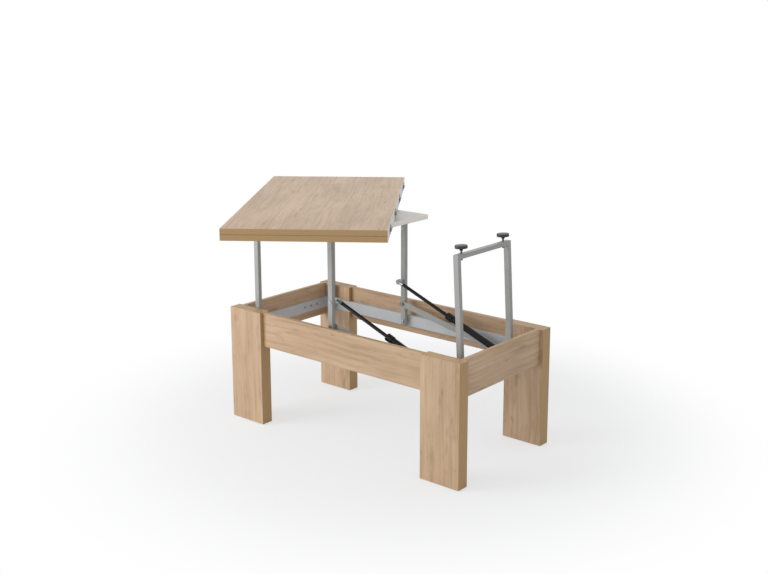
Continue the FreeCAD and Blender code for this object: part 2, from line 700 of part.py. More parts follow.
def carrier_board():
    """White board on the arms: swivel bore, bracket screw holes."""
    body = board("carrier_panel", "carrier_length", "carrier_width", "carrier_thick")
    middle = "(carrier_right - carrier_length / 2)"
    holes = [(f"{x} - {middle} + {step} * bracket_screw", f"{sy} * arm_half", SCREW_HOLE)
             for side, end, x, sy in arm_places() for step in (-1, 1)]
    drill(body, "XY_Plane", "0", holes, "screw_length")
    drill(body, "XY_Plane", "carrier_thick / 2",
          [(f"swivel_place - {middle}", "-swivel_shift", "swivel_stud_radius + fit_gap")], "carrier_thick")
    keep(place(body, middle, "0", "carrier_base"), "carrier_board")


def arm_brackets():
    """Clevis brackets under the carrier board with their pins and screws."""
    brackets = []
    pins = []
    screws = []
    inside = "(tube_depth / 2 + slide_gap)"
    outside = "(tube_depth / 2 + slide_gap + bracket_wall)"
    for side, end, x, sy in arm_places():
        body = new_body("arm_bracket")
        cheeks = new_sketch(body, "YZ_Plane")
        roof = "bracket_drop - bracket_wall"
        polygon(cheeks, [(f"-{outside}", "bracket_drop"), (f"-{outside}", "-bracket_tip"),
                         (f"-{inside}", "-bracket_tip"), (f"-{inside}", roof), (inside, roof),
                         (inside, "-bracket_tip"), (outside, "-bracket_tip"), (outside, "bracket_drop")])
        pad(body, cheeks, "bracket_cheek", True)
        plate = new_sketch(body, "XY_Plane", roof)
        rectangle(plate, "-bracket_length / 2", f"-{outside}", "bracket_length / 2", outside)
        pad(body, plate, "bracket_wall")
        round_edges(body, "bracket_tip", lambda edge: along(edge, V(0, 1, 0)) and edge.CenterOfMass.z < 0)
        drill(body, "XZ_Plane", "0", [("0", "0", "bolt_radius + fit_gap")], outside)
        drill(body, "XY_Plane", "bracket_drop",
              [("-bracket_screw", "0", SCREW_HOLE), ("bracket_screw", "0", SCREW_HOLE)], "bracket_wall")
        pivot = "pivot_height + arm_length"
        brackets.append(place(body, x, f"{sy} * arm_half", pivot))
        shank = along_y(bolt("clevis_shank", "bolt_radius", f"2 * {outside} + 2 * pin_head_height"), x,
                        f"{sy} * arm_half + {sy} * ({outside} + pin_head_height)", pivot, -sy)
        heads = [along_y(bolt("clevis_head", "pin_head_radius", "pin_head_height"), x,
                         f"{sy} * arm_half + {face} * {outside}", pivot, face) for face in (-1, 1)]
        pins.append(joined("clevis_pin", [shank] + heads))
        for step in (-1, 1):
            screw = wood_screw("bracket_wall")
            screws.append(place(screw, f"{x} + {step} * bracket_screw", f"{sy} * arm_half",
                                f"{pivot} + bracket_drop - bracket_wall", V(0, -1, 0), "90"))
    group("arm_brackets", brackets)
    group("bracket_pins", pins)
    group("bracket_screws", screws)


def felt_pads():
    """Felt pads on the carrier board, which the top slides on."""
    items = []
    for ex in ENDS.values():
        for sy in SIDES.values():
            disc = doc.addObject("Part::Cylinder", "felt_pad")
            bind(disc, Radius="pad_radius", Height="pad_thick")
            items.append(place(disc, f"swivel_place + {ex} * pad_along", f"{sy} * pad_across - swivel_shift",
                               "carrier_base + carrier_thick"))
    group("felt_pads", items)


def on_top(item, z):
    """Stand a piece of the top on the swivel axis, turned as stored."""
    return place(item, "swivel_place", "-swivel_shift", z, V(0, 0, -1), "swivel_rest")


HINGES = ("-hinge_second", "-hinge_first", "hinge_first", "hinge_second")
SWIVEL_SCREWS = [(f"swivel_screw_circle * cos({turn})", f"swivel_screw_circle * sin({turn})")
                 for turn in (45, 135, 225, 315)]
EDGE = "(swivel_shift + leaf_width / 2)"


def leaf(label, z, rise):
    """One leaf of the top, with the recesses and screw holes of its hinges in the rear edge."""
    body = new_body(label + "_panel")
    sketch = new_sketch(body, "XY_Plane")
    rectangle(sketch, "-swivel_shift - leaf_length / 2", "swivel_shift - leaf_width / 2",
              "leaf_length / 2 - swivel_shift", EDGE)
    pad(body, sketch, "leaf_thick")
    round_edges(body, "edge_round", is_line)
    recess = new_sketch(body, "XZ_Plane", f"-{EDGE}")
    low = "hinge_lift - fit_gap" if rise > 0 else "leaf_thick - hinge_lift - hinge_height - fit_gap"
    for x in HINGES:
        rectangle(recess, f"{x} - swivel_shift - hinge_length / 2 - fit_gap", low,
                  f"{x} - swivel_shift + hinge_length / 2 + fit_gap", f"{low} + hinge_height + 2 * fit_gap")
    cut(body, recess, "hinge_plate")
    level = "hinge_lift + hinge_height / 2" if rise > 0 else "leaf_thick - hinge_lift - hinge_height / 2"
    holes = [(f"{x} - swivel_shift + {step} * (hinge_length / 2 - hinge_screw_inset)", level, SCREW_HOLE)
             for x in HINGES for step in (-1, 1)]
    drill(body, "XZ_Plane", f"-{EDGE}", holes, "hinge_plate + screw_length")
    if rise < 0:
        drill(body, "XY_Plane", "0", [(x, y, SCREW_HOLE) for x, y in SWIVEL_SCREWS], "screw_length")
    keep(on_top(body, z), label)


def hinge_plates(label, rise, knuckles):
    """Hinge halves of one leaf: a plate let into the edge and knuckles on the seam."""
    items = []
    for x in HINGES:
        body = new_body(label + "_half")
        middle = f"({x} - swivel_shift)"
        plate = new_sketch(body, "YZ_Plane", middle)
        inner = f"{EDGE} - hinge_plate"
        axis = f"{EDGE} + hinge_axis"
        near = f"{rise} * (hinge_lift + leaf_gap / 2)"
        far = f"{rise} * (hinge_lift + hinge_height + leaf_gap / 2)"
        rectangle(plate, inner, near, EDGE, far)
        pad(body, plate, "hinge_length", True)
        for start, end in knuckles:
            centre = f"{middle} + ({start} + {end}) / 2 * hinge_length"
            tab = new_sketch(body, "YZ_Plane", centre)
            rectangle(tab, inner, near, axis, f"{rise} * (hinge_lift + leaf_gap / 2 + hinge_plate)")
            width = f"({end} - {start}) * hinge_length - knuckle_gap"
            pad(body, tab, width, True)
            barrel = new_sketch(body, "YZ_Plane", centre)
            circle(barrel, axis, "0", "knuckle_radius")
            pad(body, barrel, width, True)
        drill(body, "YZ_Plane", middle, [(axis, "0", "hinge_pin_radius + fit_gap")], "hinge_length")
        level = f"{rise} * (hinge_lift + hinge_height / 2 + leaf_gap / 2)"
        holes = [(f"{middle} + {step} * (hinge_length / 2 - hinge_screw_inset)", level, SCREW_HOLE)
                 for step in (-1, 1)]
        drill(body, "XZ_Plane", f"-{EDGE}", holes, "2 * hinge_plate")
        items.append(body)
    on_top(group(label, items), "leaf_height + leaf_thick + leaf_gap / 2")


def hinge_screws(rise):
    """Two screws for each hinge half, on the swivel axis and the seam."""
    items = []
    level = f"{rise} * (hinge_lift + hinge_height / 2 + leaf_gap / 2)"
    for x in HINGES:
        for step in (-1, 1):
            along_edge = f"{x} - swivel_shift + {step} * (hinge_length / 2 - hinge_screw_inset)"
            items.append(place(wood_screw("hinge_plate"), along_edge, EDGE, level, V(0, 0, -1), "90"))
    return items


def upper_screws():
    on_top(group("upper_leaf_screws", hinge_screws(1)), "leaf_height + leaf_thick + leaf_gap / 2")


def lower_screws():
    """Hinge screws of the lower leaf, and the countersunk screws of the swivel plate."""
    items = hinge_screws(-1)
    for x, y in SWIVEL_SCREWS:
        body = new_body("swivel_screw")
        tip = "swivel_plate_thick + screw_length - fit_gap"
        turned(body, [("0", "0"), (tip, "0"), (tip, "screw_radius"), ("0", "screw_radius")])
        items.append(place(body, x, y, "-swivel_plate_thick - leaf_thick - leaf_gap / 2", V(0, -1, 0), "90"))
    on_top(group("lower_leaf_screws", items), "leaf_height + leaf_thick + leaf_gap / 2")


def hinge_pins():
    """Pins through the knuckles."""
    items = []
    for x in HINGES:
        pin = doc.addObject("Part::Cylinder", "hinge_pin")
        bind(pin, Radius="hinge_pin_radius", Height="hinge_length")
        start = f"{x} - swivel_shift - hinge_length / 2"
        items.append(place(pin, start, f"{EDGE} + hinge_axis", "0", V(0, 1, 0), "90"))
    on_top(group("hinge_pins", items), "leaf_height + leaf_thick + leaf_gap / 2")


def swivel():
    """Swivel plate with its stud through the carrier board, washer, lock nut and screws."""
    body = new_body("swivel_disc")
    plate = new_sketch(body, "XY_Plane", "-swivel_plate_thick")
    circle(plate, "0", "0", "swivel_plate_radius")
    pad(body, plate, "swivel_plate_thick")
    reach = "(swivel_gap + carrier_thick + slide_gap + swivel_washer_thick + swivel_nut_height)"
    stud = new_sketch(body, "XY_Plane", f"-{reach}")
    circle(stud, "0", "0", "swivel_stud_radius")
    pad(body, stud, f"{reach} - swivel_plate_thick / 2")
    holes = [(x, y, SCREW_HOLE) for x, y in SWIVEL_SCREWS]
    drill(body, "XY_Plane", "-swivel_plate_thick", holes, "swivel_plate_thick")
    keep(on_top(body, "leaf_height"), "swivel_plate")
    below = "(swivel_gap + carrier_thick + slide_gap)"
    washer = doc.addObject("Part::Cylinder", "swivel_washer_disc")
    bind(washer, Radius="swivel_washer_radius", Height="swivel_washer_thick")
    place(washer, z=f"-{below} - swivel_washer_thick")
    prism = hexagon("swivel_nut_body", "swivel_nut_flats", "swivel_nut_height")
    place(prism, z=f"-{below} - swivel_washer_thick - swivel_nut_height")
    bore = doc.addObject("Part::Cylinder", "swivel_nut_bore")
    bind(bore, Radius="swivel_stud_radius", Height="swivel_washer_thick + swivel_nut_height")
    place(bore, z=f"-{below} - swivel_washer_thick - swivel_nut_height")
    flanged = bored("swivel_flanged_nut", joined("swivel_nut_blank", [washer, prism]), bore)
    keep(on_top(flanged, "leaf_height"), "swivel_nut")


def on_support(item):
    """Stand a piece of the support frame on its pivot, leaning as stored."""
    return place(item, "support_place", "0", "support_height", V(0, -1, 0), "support_lean")


def support_frame():
    """U-frame of tube: two uprights and a crossbar, with the holes of shaft and inserts."""
    body = new_body("support_tubes")
    foot = new_sketch(body, "XY_Plane", "-support_tail")
    for sy in SIDES.values():
        low = f"{sy} * support_half - tube_depth / 2"
        rectangle(foot, "-tube_width / 2", low, "tube_width / 2", f"{low} + tube_depth")
    pad(body, foot, "support_tail + support_rise + tube_depth / 2")
    bar = new_sketch(body, "XZ_Plane")
    rectangle(bar, "-tube_width / 2", "support_rise - tube_depth / 2",
              "tube_width / 2", "support_rise + tube_depth / 2")
    pad(body, bar, "2 * support_half", True)
    round_edges(body, "tube_round", lambda edge: is_line(edge) and not along(edge, V(1, 0, 0))
                and abs(abs(edge.CenterOfMass.x) - size("tube_width") / 2) < NEAR
                and edge.CenterOfMass.z > NEAR - size("support_tail"))
    for sy in SIDES.values():
        hollow = new_sketch(body, "XY_Plane", "-support_tail")
        low = f"{sy} * support_half - tube_depth / 2 + tube_wall"
        rectangle(hollow, "tube_wall - tube_width / 2", low, "tube_width / 2 - tube_wall",
                  f"{low} + tube_depth - 2 * tube_wall")
        cut(body, hollow, "support_tail + support_rise + tube_depth / 2 - tube_wall")
    inside = new_sketch(body, "XZ_Plane")
    rectangle(inside, "tube_wall - tube_width / 2", "support_rise - tube_depth / 2 + tube_wall",
              "tube_width / 2 - tube_wall", "support_rise + tube_depth / 2 - tube_wall")
    cut(body, inside, "support_half")
    drill(body, "XZ_Plane", "0", [("0", "0", "shaft_radius")], "support_half + tube_depth")
    drill(body, "XY_Plane", "support_rise",
          [("0", f"{sy} * knob_half", "stud_radius + insert_wall") for sy in SIDES.values()], "tube_depth")
    keep(on_support(body), "support_frame")


def support_shaft():
    """Shaft that the uprights and levers are welded to."""
    shaft = bolt("support_bar", "shaft_radius", "2 * lever_face")
    keep(along_y(shaft, "support_place", "-lever_face", "support_height", 1), "support_shaft")


def levers():
    """Bell crank levers at the ends of the shaft, with the link pins riveted in."""
    items = []
    pins = []
    for sy in SIDES.values():
        body = new_body("lever_plate")
        sketch = new_sketch(body, "XZ_Plane", f"{-sy} * (lever_face - lever_thick / 2)")
        rectangle(sketch, "-lever_boss", "-lever_radius", "lever_boss", "0")
        pad(body, sketch, "lever_thick", True)
        for level in ("0", "-lever_radius"):
            boss = new_sketch(body, "XZ_Plane", f"{-sy} * (lever_face - lever_thick / 2)")
            circle(boss, "0", level, "lever_boss")
            pad(body, boss, "lever_thick", True)
        drill(body, "XZ_Plane", f"{-sy} * lever_face",
              [("0", "0", "shaft_radius"), ("0", "-lever_radius", "bolt_radius")], "2 * lever_thick")
        items.append(body)
        shank = along_y(bolt("lever_pin_shank", "bolt_radius", "lever_thick + rivet_height"), "0",
                        f"{sy} * lever_face", "-lever_radius", -sy)
        head = along_y(bolt("lever_pin_head", "rivet_radius", "rivet_height"), "0",
                       f"{sy} * (lever_face - lever_thick)", "-lever_radius", -sy)
        pins.append(joined("lever_pin", [shank, head]))
    for label, members in (("support_levers", items), ("lever_pins", pins)):
        place(group(label, members), "support_place", "0", "support_height", V(0, 1, 0), "lever_swing")


def end_brackets():
    """Welded brackets on the right cross rail: bearings of the shaft and anchors of the gas springs."""
    inside = "(gas_eye_thick / 2 + slide_gap)"
    for name, sy in SIDES.items():
        body = new_body(f"end_bracket_{name}_plates")
        for face in (-1, 1):
            middle = f"{sy} * gas_half + {face} * ({inside} + cheek_wall / 2)"
            sketch = new_sketch(body, "XZ_Plane", f"-({middle})")
            top = "support_height + cheek_boss"
            floor = "gas_anchor_height - cheek_boss"
            polygon(sketch, [("cross_face", top), ("support_place - cheek_boss", top),
                             ("support_place - cheek_boss", "support_height - cheek_boss"),
                             ("gas_anchor_place - cheek_boss", "gas_anchor_height + cheek_boss"),
                             ("gas_anchor_place - cheek_boss", floor),
                             ("gas_anchor_place + cheek_boss", floor),
                             ("cross_face", "pivot_height - rail_height / 2")])
            pad(body, sketch, "cheek_wall", True)
        back = new_sketch(body, "YZ_Plane", "cross_face - cheek_wall / 2")
        rectangle(back, f"{sy} * gas_half - {inside} - cheek_wall", "pivot_height - rail_height / 2",
                  f"{sy} * gas_half + {inside} + cheek_wall", "support_height + cheek_boss")
        pad(body, back, "cheek_wall", True)
        reach = f"{inside} + 2 * cheek_wall"
        drill(body, "XZ_Plane", f"-{sy} * gas_half",
              [("support_place", "support_height", "shaft_radius + fit_gap"),
               ("gas_anchor_place", "gas_anchor_height", "bolt_radius + fit_gap")], reach)
        keep(body, f"end_bracket_{name}")


def anchor_pins():
    """Headed pins that hold the feet of the gas springs."""
    items = []
    half = "(gas_eye_thick / 2 + slide_gap + cheek_wall)"
    for sy in SIDES.values():
        shank = along_y(bolt("anchor_shank", "bolt_radius", f"2 * {half}"), "gas_anchor_place",
                        f"{sy} * gas_half - {half}", "gas_anchor_height", 1)
        heads = [along_y(bolt("anchor_head", "pin_head_radius", "pin_head_height"), "gas_anchor_place",
                         f"{sy} * gas_half + {face} * {half}", "gas_anchor_height", face) for face in (-1, 1)]
        items.append(joined("anchor_pin", [shank] + heads))
    group("gas_anchor_pins", items)


def on_axis(item, sy):
    """Stand a turned piece on a knob axis of the support frame."""
    return place(item, "support_place", f"{sy} * knob_half", "support_height",
                 V(0, -1, 0), "90 + support_lean")


def knobs():
    """Levelling knobs on threaded studs, and the inserts of the crossbar that the studs screw into."""
    top = "(support_rise + tube_depth / 2)"
    neck = f"({top} + stud_show)"
    disc = f"({neck} + knob_neck)"
    inserts = []
    for name, sy in SIDES.items():
        body = new_body(f"knob_{name}_disc")
        turned(body, [(neck, "0"), (f"{disc} + knob_thick", "0"), (f"{disc} + knob_thick", "knob_radius"),
                      (disc, "knob_radius"), (disc, "knob_neck_radius * 1.4"),
                      (f"{disc} - knob_neck / 2", "knob_neck_radius"), (neck, "knob_neck_radius")])
        round_edges(body, "knob_rim", lambda edge: edge.BoundBox.YLength > 1.9 * size("knob_radius"))
        drill(body, "YZ_Plane", neck, [("0", "0", "stud_radius")], "knob_neck")
        keep(on_axis(body, sy), f"levelling_knob_{name}")
        body = new_body(f"stud_{name}_rod")
        turned(body, [(f"{top} - tube_depth - stud_below", "0"), (disc, "0"), (disc, "stud_radius"),
                      (f"{top} - tube_depth - stud_below", "stud_radius")])
        keep(on_axis(body, sy), f"levelling_stud_{name}")
        body = new_body("stud_insert")
        outer = "stud_radius + insert_wall"
        inner = "stud_radius + fit_gap"
        turned(body, [(f"{top} - tube_depth", inner), (f"{top} + insert_flange", inner),
                      (f"{top} + insert_flange", f"{outer} + insert_wall"), (top, f"{outer} + insert_wall"),
                      (top, outer), (f"{top} - tube_depth", outer)])
        inserts.append(on_axis(body, sy))
    group("stud_inserts", inserts)


def links():
    """Flat links from the right arms to the levers, with the pins of their far ends."""
    for name, sy in SIDES.items():
        middle = f"{-sy} * (link_face + link_thick / 2)"
        body = new_body(f"link_{name}_bar")
        bar = new_sketch(body, "XZ_Plane", middle)
        rectangle(bar, "0", "-link_height / 2", "link_length", "link_height / 2")
        pad(body, bar, "link_thick", True)
        for x in ("0", "link_length"):
            end = new_sketch(body, "XZ_Plane", middle)
            circle(end, x, "0", "link_height / 2")
            pad(body, end, "link_thick", True)
        drill(body, "XZ_Plane", middle,
              [("0", "0", "bolt_radius + fit_gap"), ("link_length", "0", "bolt_radius")], "link_thick")
        shank = along_y(bolt("link_pin_shank", "bolt_radius", "link_thick + rivet_height"), "link_length",
                        f"{sy} * link_face", "0", sy)
        head = along_y(bolt("link_pin_head", "rivet_radius", "rivet_height"), "link_length",
                       f"{sy} * (link_face + link_thick)", "0", sy)
        pin = joined(f"link_pin_{name}_rivet", [shank, head])
        for item, label in ((body, f"link_{name}"), (pin, f"link_pin_{name}")):
            place(item, "right_arm_place", "0", "pivot_height + link_rise", V(0, 1, 0), "link_tilt")
            keep(item, label)


def arm_bolts():
    """On each right arm the bolt of the link with its nut, and the ball stud of the gas spring."""
    for name, sy in SIDES.items():
        outer = f"{sy} * (arm_half + tube_depth / 2)"

        def headed(label, reach, level):
            """Shank from the outer face of the arm inwards, and its round head."""
            shank = bolt(label + "_shank", "bolt_radius", reach)
            head = bolt(label + "_head", "rivet_radius", "rivet_height")
            return [along_y(shank, "right_arm_place", outer, level, -sy),
                    along_y(head, "right_arm_place", outer, level, sy)]

        level = "pivot_height + link_rise"
        lock = hexagon("link_bolt_nut", "nut_flats", "nut_height")
        along_y(lock, "right_arm_place", f"{sy} * (link_face - slide_gap)", level, -sy)
        reach = "tube_depth + 2 * slide_gap + link_thick + nut_height"
        link_bolt = joined("link_bolt", headed("link_bolt", reach, level) + [lock])
        reach = "arm_half + tube_depth / 2 - gas_half - gas_eye_thick / 2 - slide_gap"
        gas_stud = joined("gas_stud", headed("gas_stud", reach, "pivot_height + gas_rise"))
        group(f"arm_bolts_{name}", [link_bolt, gas_stud])


def on_gas(item, sy):
    """Stand a piece of a gas spring on its anchor, along its line."""
    return place(item, "gas_anchor_place", f"{sy} * gas_half", "gas_anchor_height",
                 V(0, 1, 0), "180 + gas_tilt")


def gas_springs():
    """Cylinder with closed foot, bore, rod guide and foot eye; rod with piston and end fitting."""
    for name, sy in SIDES.items():
        body = new_body(f"gas_cylinder_{name}_tube")
        collar_start = "gas_mouth - gas_collar_length"
        guide = "gas_mouth - gas_guide"
        hole = "gas_rod_radius + fit_gap"
        foot = "gas_neck + gas_foot_wall"
        turned(body, [("0", "0"), (foot, "0"), (foot, "gas_bore"), (guide, "gas_bore"), (guide, hole),
                      ("gas_mouth", hole), ("gas_mouth", "gas_collar_radius"),
                      (collar_start, "gas_collar_radius"), (collar_start, "gas_radius"),
                      ("gas_neck", "gas_radius"), ("gas_neck", "gas_neck_radius"), ("0", "gas_neck_radius")])
        eye = new_sketch(body, "XZ_Plane")
        circle(eye, "0", "0", "gas_eye_radius")
        pad(body, eye, "gas_eye_thick", True)
        drill(body, "XZ_Plane", "0", [("0", "0", "bolt_radius + fit_gap")], "gas_eye_thick")
        keep(on_gas(body, sy), f"gas_cylinder_{name}")
        body = new_body(f"gas_rod_{name}_bar")
        face = "(gas_length - gas_rod_length)"
        socket = "gas_length - gas_socket_length"
        piston = "gas_bore - gas_piston_gap"
        tip = "gas_length - gas_eye_radius"
        turned(body, [(face, "0"), ("gas_length", "0"), ("gas_length", "gas_neck_radius"),
                      (tip, "gas_neck_radius"), (tip, "gas_socket_radius"), (socket, "gas_socket_radius"),
                      (socket, "gas_rod_radius"), (f"{face} + gas_piston_length", "gas_rod_radius"),
                      (f"{face} + gas_piston_length", piston), (face, piston)])
        eye = new_sketch(body, "XZ_Plane")
        circle(eye, "gas_length", "0", "gas_eye_radius")
        pad(body, eye, "gas_eye_thick", True)
        keep(on_gas(body, sy), f"gas_rod_{name}")


legs()
glides()
aprons()
dowels()
rails()
rail_screws()
arms()
arm_pivots()
arm_bolts()
carrier_board()
arm_brackets()
felt_pads()
leaf("lower_leaf", "leaf_height", -1)
leaf("upper_leaf", "leaf_height + leaf_thick + leaf_gap", 1)
hinge_plates("hinge_halves_lower", -1, ((-0.5, -0.25), (0.25, 0.5)))
hinge_plates("hinge_halves_upper", 1, ((-0.25, 0.25),))
lower_screws()
upper_screws()
hinge_pins()
swivel()
support_frame()
support_shaft()
levers()
end_brackets()
anchor_pins()
knobs()
links()
gas_springs()
doc.recompute()

for item in doc.Objects:
    if "Invalid" in item.State or "Error" in item.State:
        raise RuntimeError(item.Label + " did not build")
os.makedirs("parts", exist_ok=True)
for item in PARTS:
    if item.Shape.isNull() or not item.Shape.isValid() or not item.Shape.Solids:
        raise RuntimeError(item.Label + " has no sound shape")
    item.Shape.exportStep("parts/" + item.Label + ".step")
print(len(PARTS), "pieces")
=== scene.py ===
# %% [markdown]
# # A lift-top table, dressed for the studio
# The solids of the table come packed as a frame: every board, tube, pin and spring is already in
# its place and rides on the body that carries it. This script gives them their surfaces, adds the
# small pieces that a maker would see from a step away, and sets up the floor, light and camera.

import json
import math

import bmesh
import bpy
from mathutils import Matrix, Vector


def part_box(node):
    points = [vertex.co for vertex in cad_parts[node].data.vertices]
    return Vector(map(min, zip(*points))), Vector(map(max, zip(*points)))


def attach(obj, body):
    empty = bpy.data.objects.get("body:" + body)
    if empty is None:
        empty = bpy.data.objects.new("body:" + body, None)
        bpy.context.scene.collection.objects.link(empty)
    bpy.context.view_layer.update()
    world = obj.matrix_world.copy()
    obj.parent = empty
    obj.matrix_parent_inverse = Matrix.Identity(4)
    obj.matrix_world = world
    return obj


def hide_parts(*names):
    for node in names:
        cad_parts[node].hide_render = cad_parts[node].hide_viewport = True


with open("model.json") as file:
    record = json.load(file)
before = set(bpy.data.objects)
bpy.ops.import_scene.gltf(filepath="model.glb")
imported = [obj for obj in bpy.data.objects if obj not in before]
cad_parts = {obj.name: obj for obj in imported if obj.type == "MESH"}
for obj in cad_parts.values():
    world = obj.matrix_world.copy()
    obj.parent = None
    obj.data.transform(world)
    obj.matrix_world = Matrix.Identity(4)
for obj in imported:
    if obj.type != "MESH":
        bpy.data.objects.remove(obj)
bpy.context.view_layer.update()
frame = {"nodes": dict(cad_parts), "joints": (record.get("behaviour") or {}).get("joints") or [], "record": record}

# %% [markdown]
# ## The camera
# The picture is taken from a little above the table and shows its upright edges almost parallel, as a
# lens that is moved down in its mount gives. Here the camera tilts and takes only a small shift, so
# that the table also stays in the frame when the camera goes round it. Place, heading, tilt and focal
# length are fitted to the corners of the table in the shared frame.

# %% Camera
IMAGE_WIDTH = 768
SENSOR_MM = 36.0
FOCAL_PIXELS = 1121.71
LENS_SHIFT = -0.06
CAMERA_PLACE = Vector((2.3699, -2.8036, 1.4626))
HEADING = math.radians(-40.256)
TILT = math.radians(-12.227)
ROLL = math.radians(-0.134)

forward = Vector((math.sin(HEADING) * math.cos(TILT), math.cos(HEADING) * math.cos(TILT), math.sin(TILT)))
level = Vector((math.cos(HEADING), -math.sin(HEADING), 0))
upright = level.cross(forward)
right = math.cos(ROLL) * level + math.sin(ROLL) * upright
up = math.cos(ROLL) * upright - math.sin(ROLL) * level

lens = bpy.data.cameras.new("studio_camera")
lens.sensor_fit = "HORIZONTAL"
lens.sensor_width = SENSOR_MM
lens.lens = FOCAL_PIXELS * SENSOR_MM / IMAGE_WIDTH
lens.shift_y = LENS_SHIFT
camera = bpy.data.objects.new("studio_camera", lens)
camera.matrix_world = Matrix.Translation(CAMERA_PLACE) @ Matrix((right, up, -forward)).transposed().to_4x4()
bpy.context.collection.objects.link(camera)
bpy.context.scene.camera = camera
print("lens mm", round(lens.lens, 2), "shift", round(lens.shift_y, 3))

# %% [markdown]
# ## Colour and nodes
# Colours are written as the hex values that a screen shows, and one function turns them into the
# linear numbers that a shader mixes. One more function adds a node, so that each material below
# reads as a list of what its surface is made of.

# %% Colour and node helpers
MM = 0.001


def linear(text):
    """Linear colour of an sRGB hex value."""
    parts = [int(text[start:start + 2], 16) / 255 for start in (1, 3, 5)]
    return [part / 12.92 if part <= 0.04045 else ((part + 0.055) / 1.055) ** 2.4 for part in parts] + [1.0]


def add(tree, kind, inputs=None, **settings):
    """One node with its settings; an input is a value or another node's output socket."""
    node = tree.nodes.new(kind)
    for name, value in settings.items():
        setattr(node, name, value)
    for key, value in (inputs or {}).items():
        if isinstance(value, bpy.types.NodeSocket):
            tree.links.new(value, node.inputs[key])
        else:
            node.inputs[key].default_value = value
    return node


def new_material(name):
    """Empty node material and its output node."""
    material = bpy.data.materials.new(name)
    material.use_nodes = True
    material.node_tree.nodes.clear()
    return material, add(material.node_tree, "ShaderNodeOutputMaterial")


print("mid grey", linear("#808080"))

# %% [markdown]
# ## Floor
# A white sweep: matt paint that takes the soft shadow of the table. Round the table the camera sees
# the paint as it is lit; further out it fades into plain white, as the sweep of a studio does. The
# fade is only for the eye, so the light that the floor throws back at the table stays even.

# %% Floor
# Metres, from the middle of the floor and from the middle of the fade
FLOOR_REACH = 30.0
FADE_CENTRE = (-0.04, 0.08, 0.0)
FADE_START = 0.6
FADE_END = 1.33
# Share of plain white in the middle of the fade; at its end all is white
FLOOR_GLOW = 0.6

floor_material, output = new_material("matt_white_studio_paint")
tree = floor_material.node_tree
place = add(tree, "ShaderNodeTexCoord")
away = add(tree, "ShaderNodeVectorMath", {0: place.outputs["Object"], 1: FADE_CENTRE}, operation="DISTANCE")
fade = add(tree, "ShaderNodeMapRange",
           {"Value": away.outputs["Value"], "From Min": FADE_START, "From Max": FADE_END,
            "To Min": FLOOR_GLOW, "To Max": 1.0}, interpolation_type="SMOOTHSTEP")
rays = add(tree, "ShaderNodeLightPath")
share = add(tree, "ShaderNodeMath",
            {0: rays.outputs["Is Camera Ray"], 1: fade.outputs[0]}, operation="MULTIPLY")
# Matt paint: no highlight, only shade, a trace cool so that it stays neutral beside the oak
paint = add(tree, "ShaderNodeBsdfDiffuse", {"Color": linear("#E6E8EC")})
glow = add(tree, "ShaderNodeEmission", {"Color": linear("#FFFFFF"), "Strength": 1.0})
blend = add(tree, "ShaderNodeMixShader", {0: share.outputs[0], 1: paint.outputs[0], 2: glow.outputs[0]})
tree.links.new(blend.outputs[0], output.inputs["Surface"])

shape = bmesh.new()
bmesh.ops.create_grid(shape, x_segments=1, y_segments=1, size=FLOOR_REACH)
floor_mesh = bpy.data.meshes.new("studio_floor")
shape.to_mesh(floor_mesh)
shape.free()
floor = bpy.data.objects.new("studio_floor", floor_mesh)
bpy.context.collection.objects.link(floor)
floor_mesh.materials.append(floor_material)
print("floor reach m", FLOOR_REACH)

# %% [markdown]
# ## Light
# One broad soft box stands low, in front and to the left. It lights the front faces, slips under the
# raised top onto the inside of the rear apron, and leaves the right-hand faces in the even light of
# the white room. A second, weaker box hangs overhead for the top and the floor. Eye and metal see the
# room as plain white; the light that it gives is weaker.

# %% Room and soft boxes
ROOM_LIGHT = 0.66
LIGHT_AIM = Vector((0.0, 0.0, 0.35))
# Place and width in metres, power in watts
SOFT_BOXES = {
    "key_box": (Vector((-2.2, -2.9, 1.6)), 2.0, 76.0),
    "top_box": (Vector((0.2, -0.2, 3.2)), 2.5, 4.0),
}

room = bpy.data.worlds.new("white_room")
room.use_nodes = True
bpy.context.scene.world = room
tree = room.node_tree
tree.nodes.clear()
rays = add(tree, "ShaderNodeLightPath")
mirrored = add(tree, "ShaderNodeMath",
               {0: rays.outputs["Is Glossy Ray"], 1: rays.outputs["Is Transmission Ray"]},
               operation="MAXIMUM")
seen = add(tree, "ShaderNodeMath",
           {0: rays.outputs["Is Camera Ray"], 1: mirrored.outputs[0]}, operation="MAXIMUM")
strength = add(tree, "ShaderNodeMapRange", {"Value": seen.outputs[0], "To Min": ROOM_LIGHT, "To Max": 1.0})
sky = add(tree, "ShaderNodeBackground", {"Color": linear("#FFFFFF"), "Strength": strength.outputs[0]})
add(tree, "ShaderNodeOutputWorld", {"Surface": sky.outputs[0]})

for name, (spot, size, power) in SOFT_BOXES.items():
    lamp = bpy.data.lights.new(name, "AREA")
    lamp.shape = "SQUARE"
    lamp.size = size
    lamp.energy = power
    box = bpy.data.objects.new(name, lamp)
    box.location = spot
    box.rotation_euler = (LIGHT_AIM - spot).to_track_quat("-Z", "Y").to_euler()
    bpy.context.collection.objects.link(box)
bpy.context.scene.view_settings.view_transform = "Standard"
print("room", ROOM_LIGHT, "soft boxes", len(SOFT_BOXES))

# %% [markdown]
# ## Light oak melamine
# Legs, aprons and leaves are chipboard with a printed oak paper under melamine resin. The print has
# soft streaks, finer fibres, a few darker cracks and knots, and broad clouds, all drawn out along the
# board. An image could show all that, but it would have a seam and one size. So each layer is a noise
# with its own width in millimetres, stretched along the grain, and a slow noise bends the layers, as
# real grain wanders. The resin gives a satin sheen that dulls a little with the fibres.

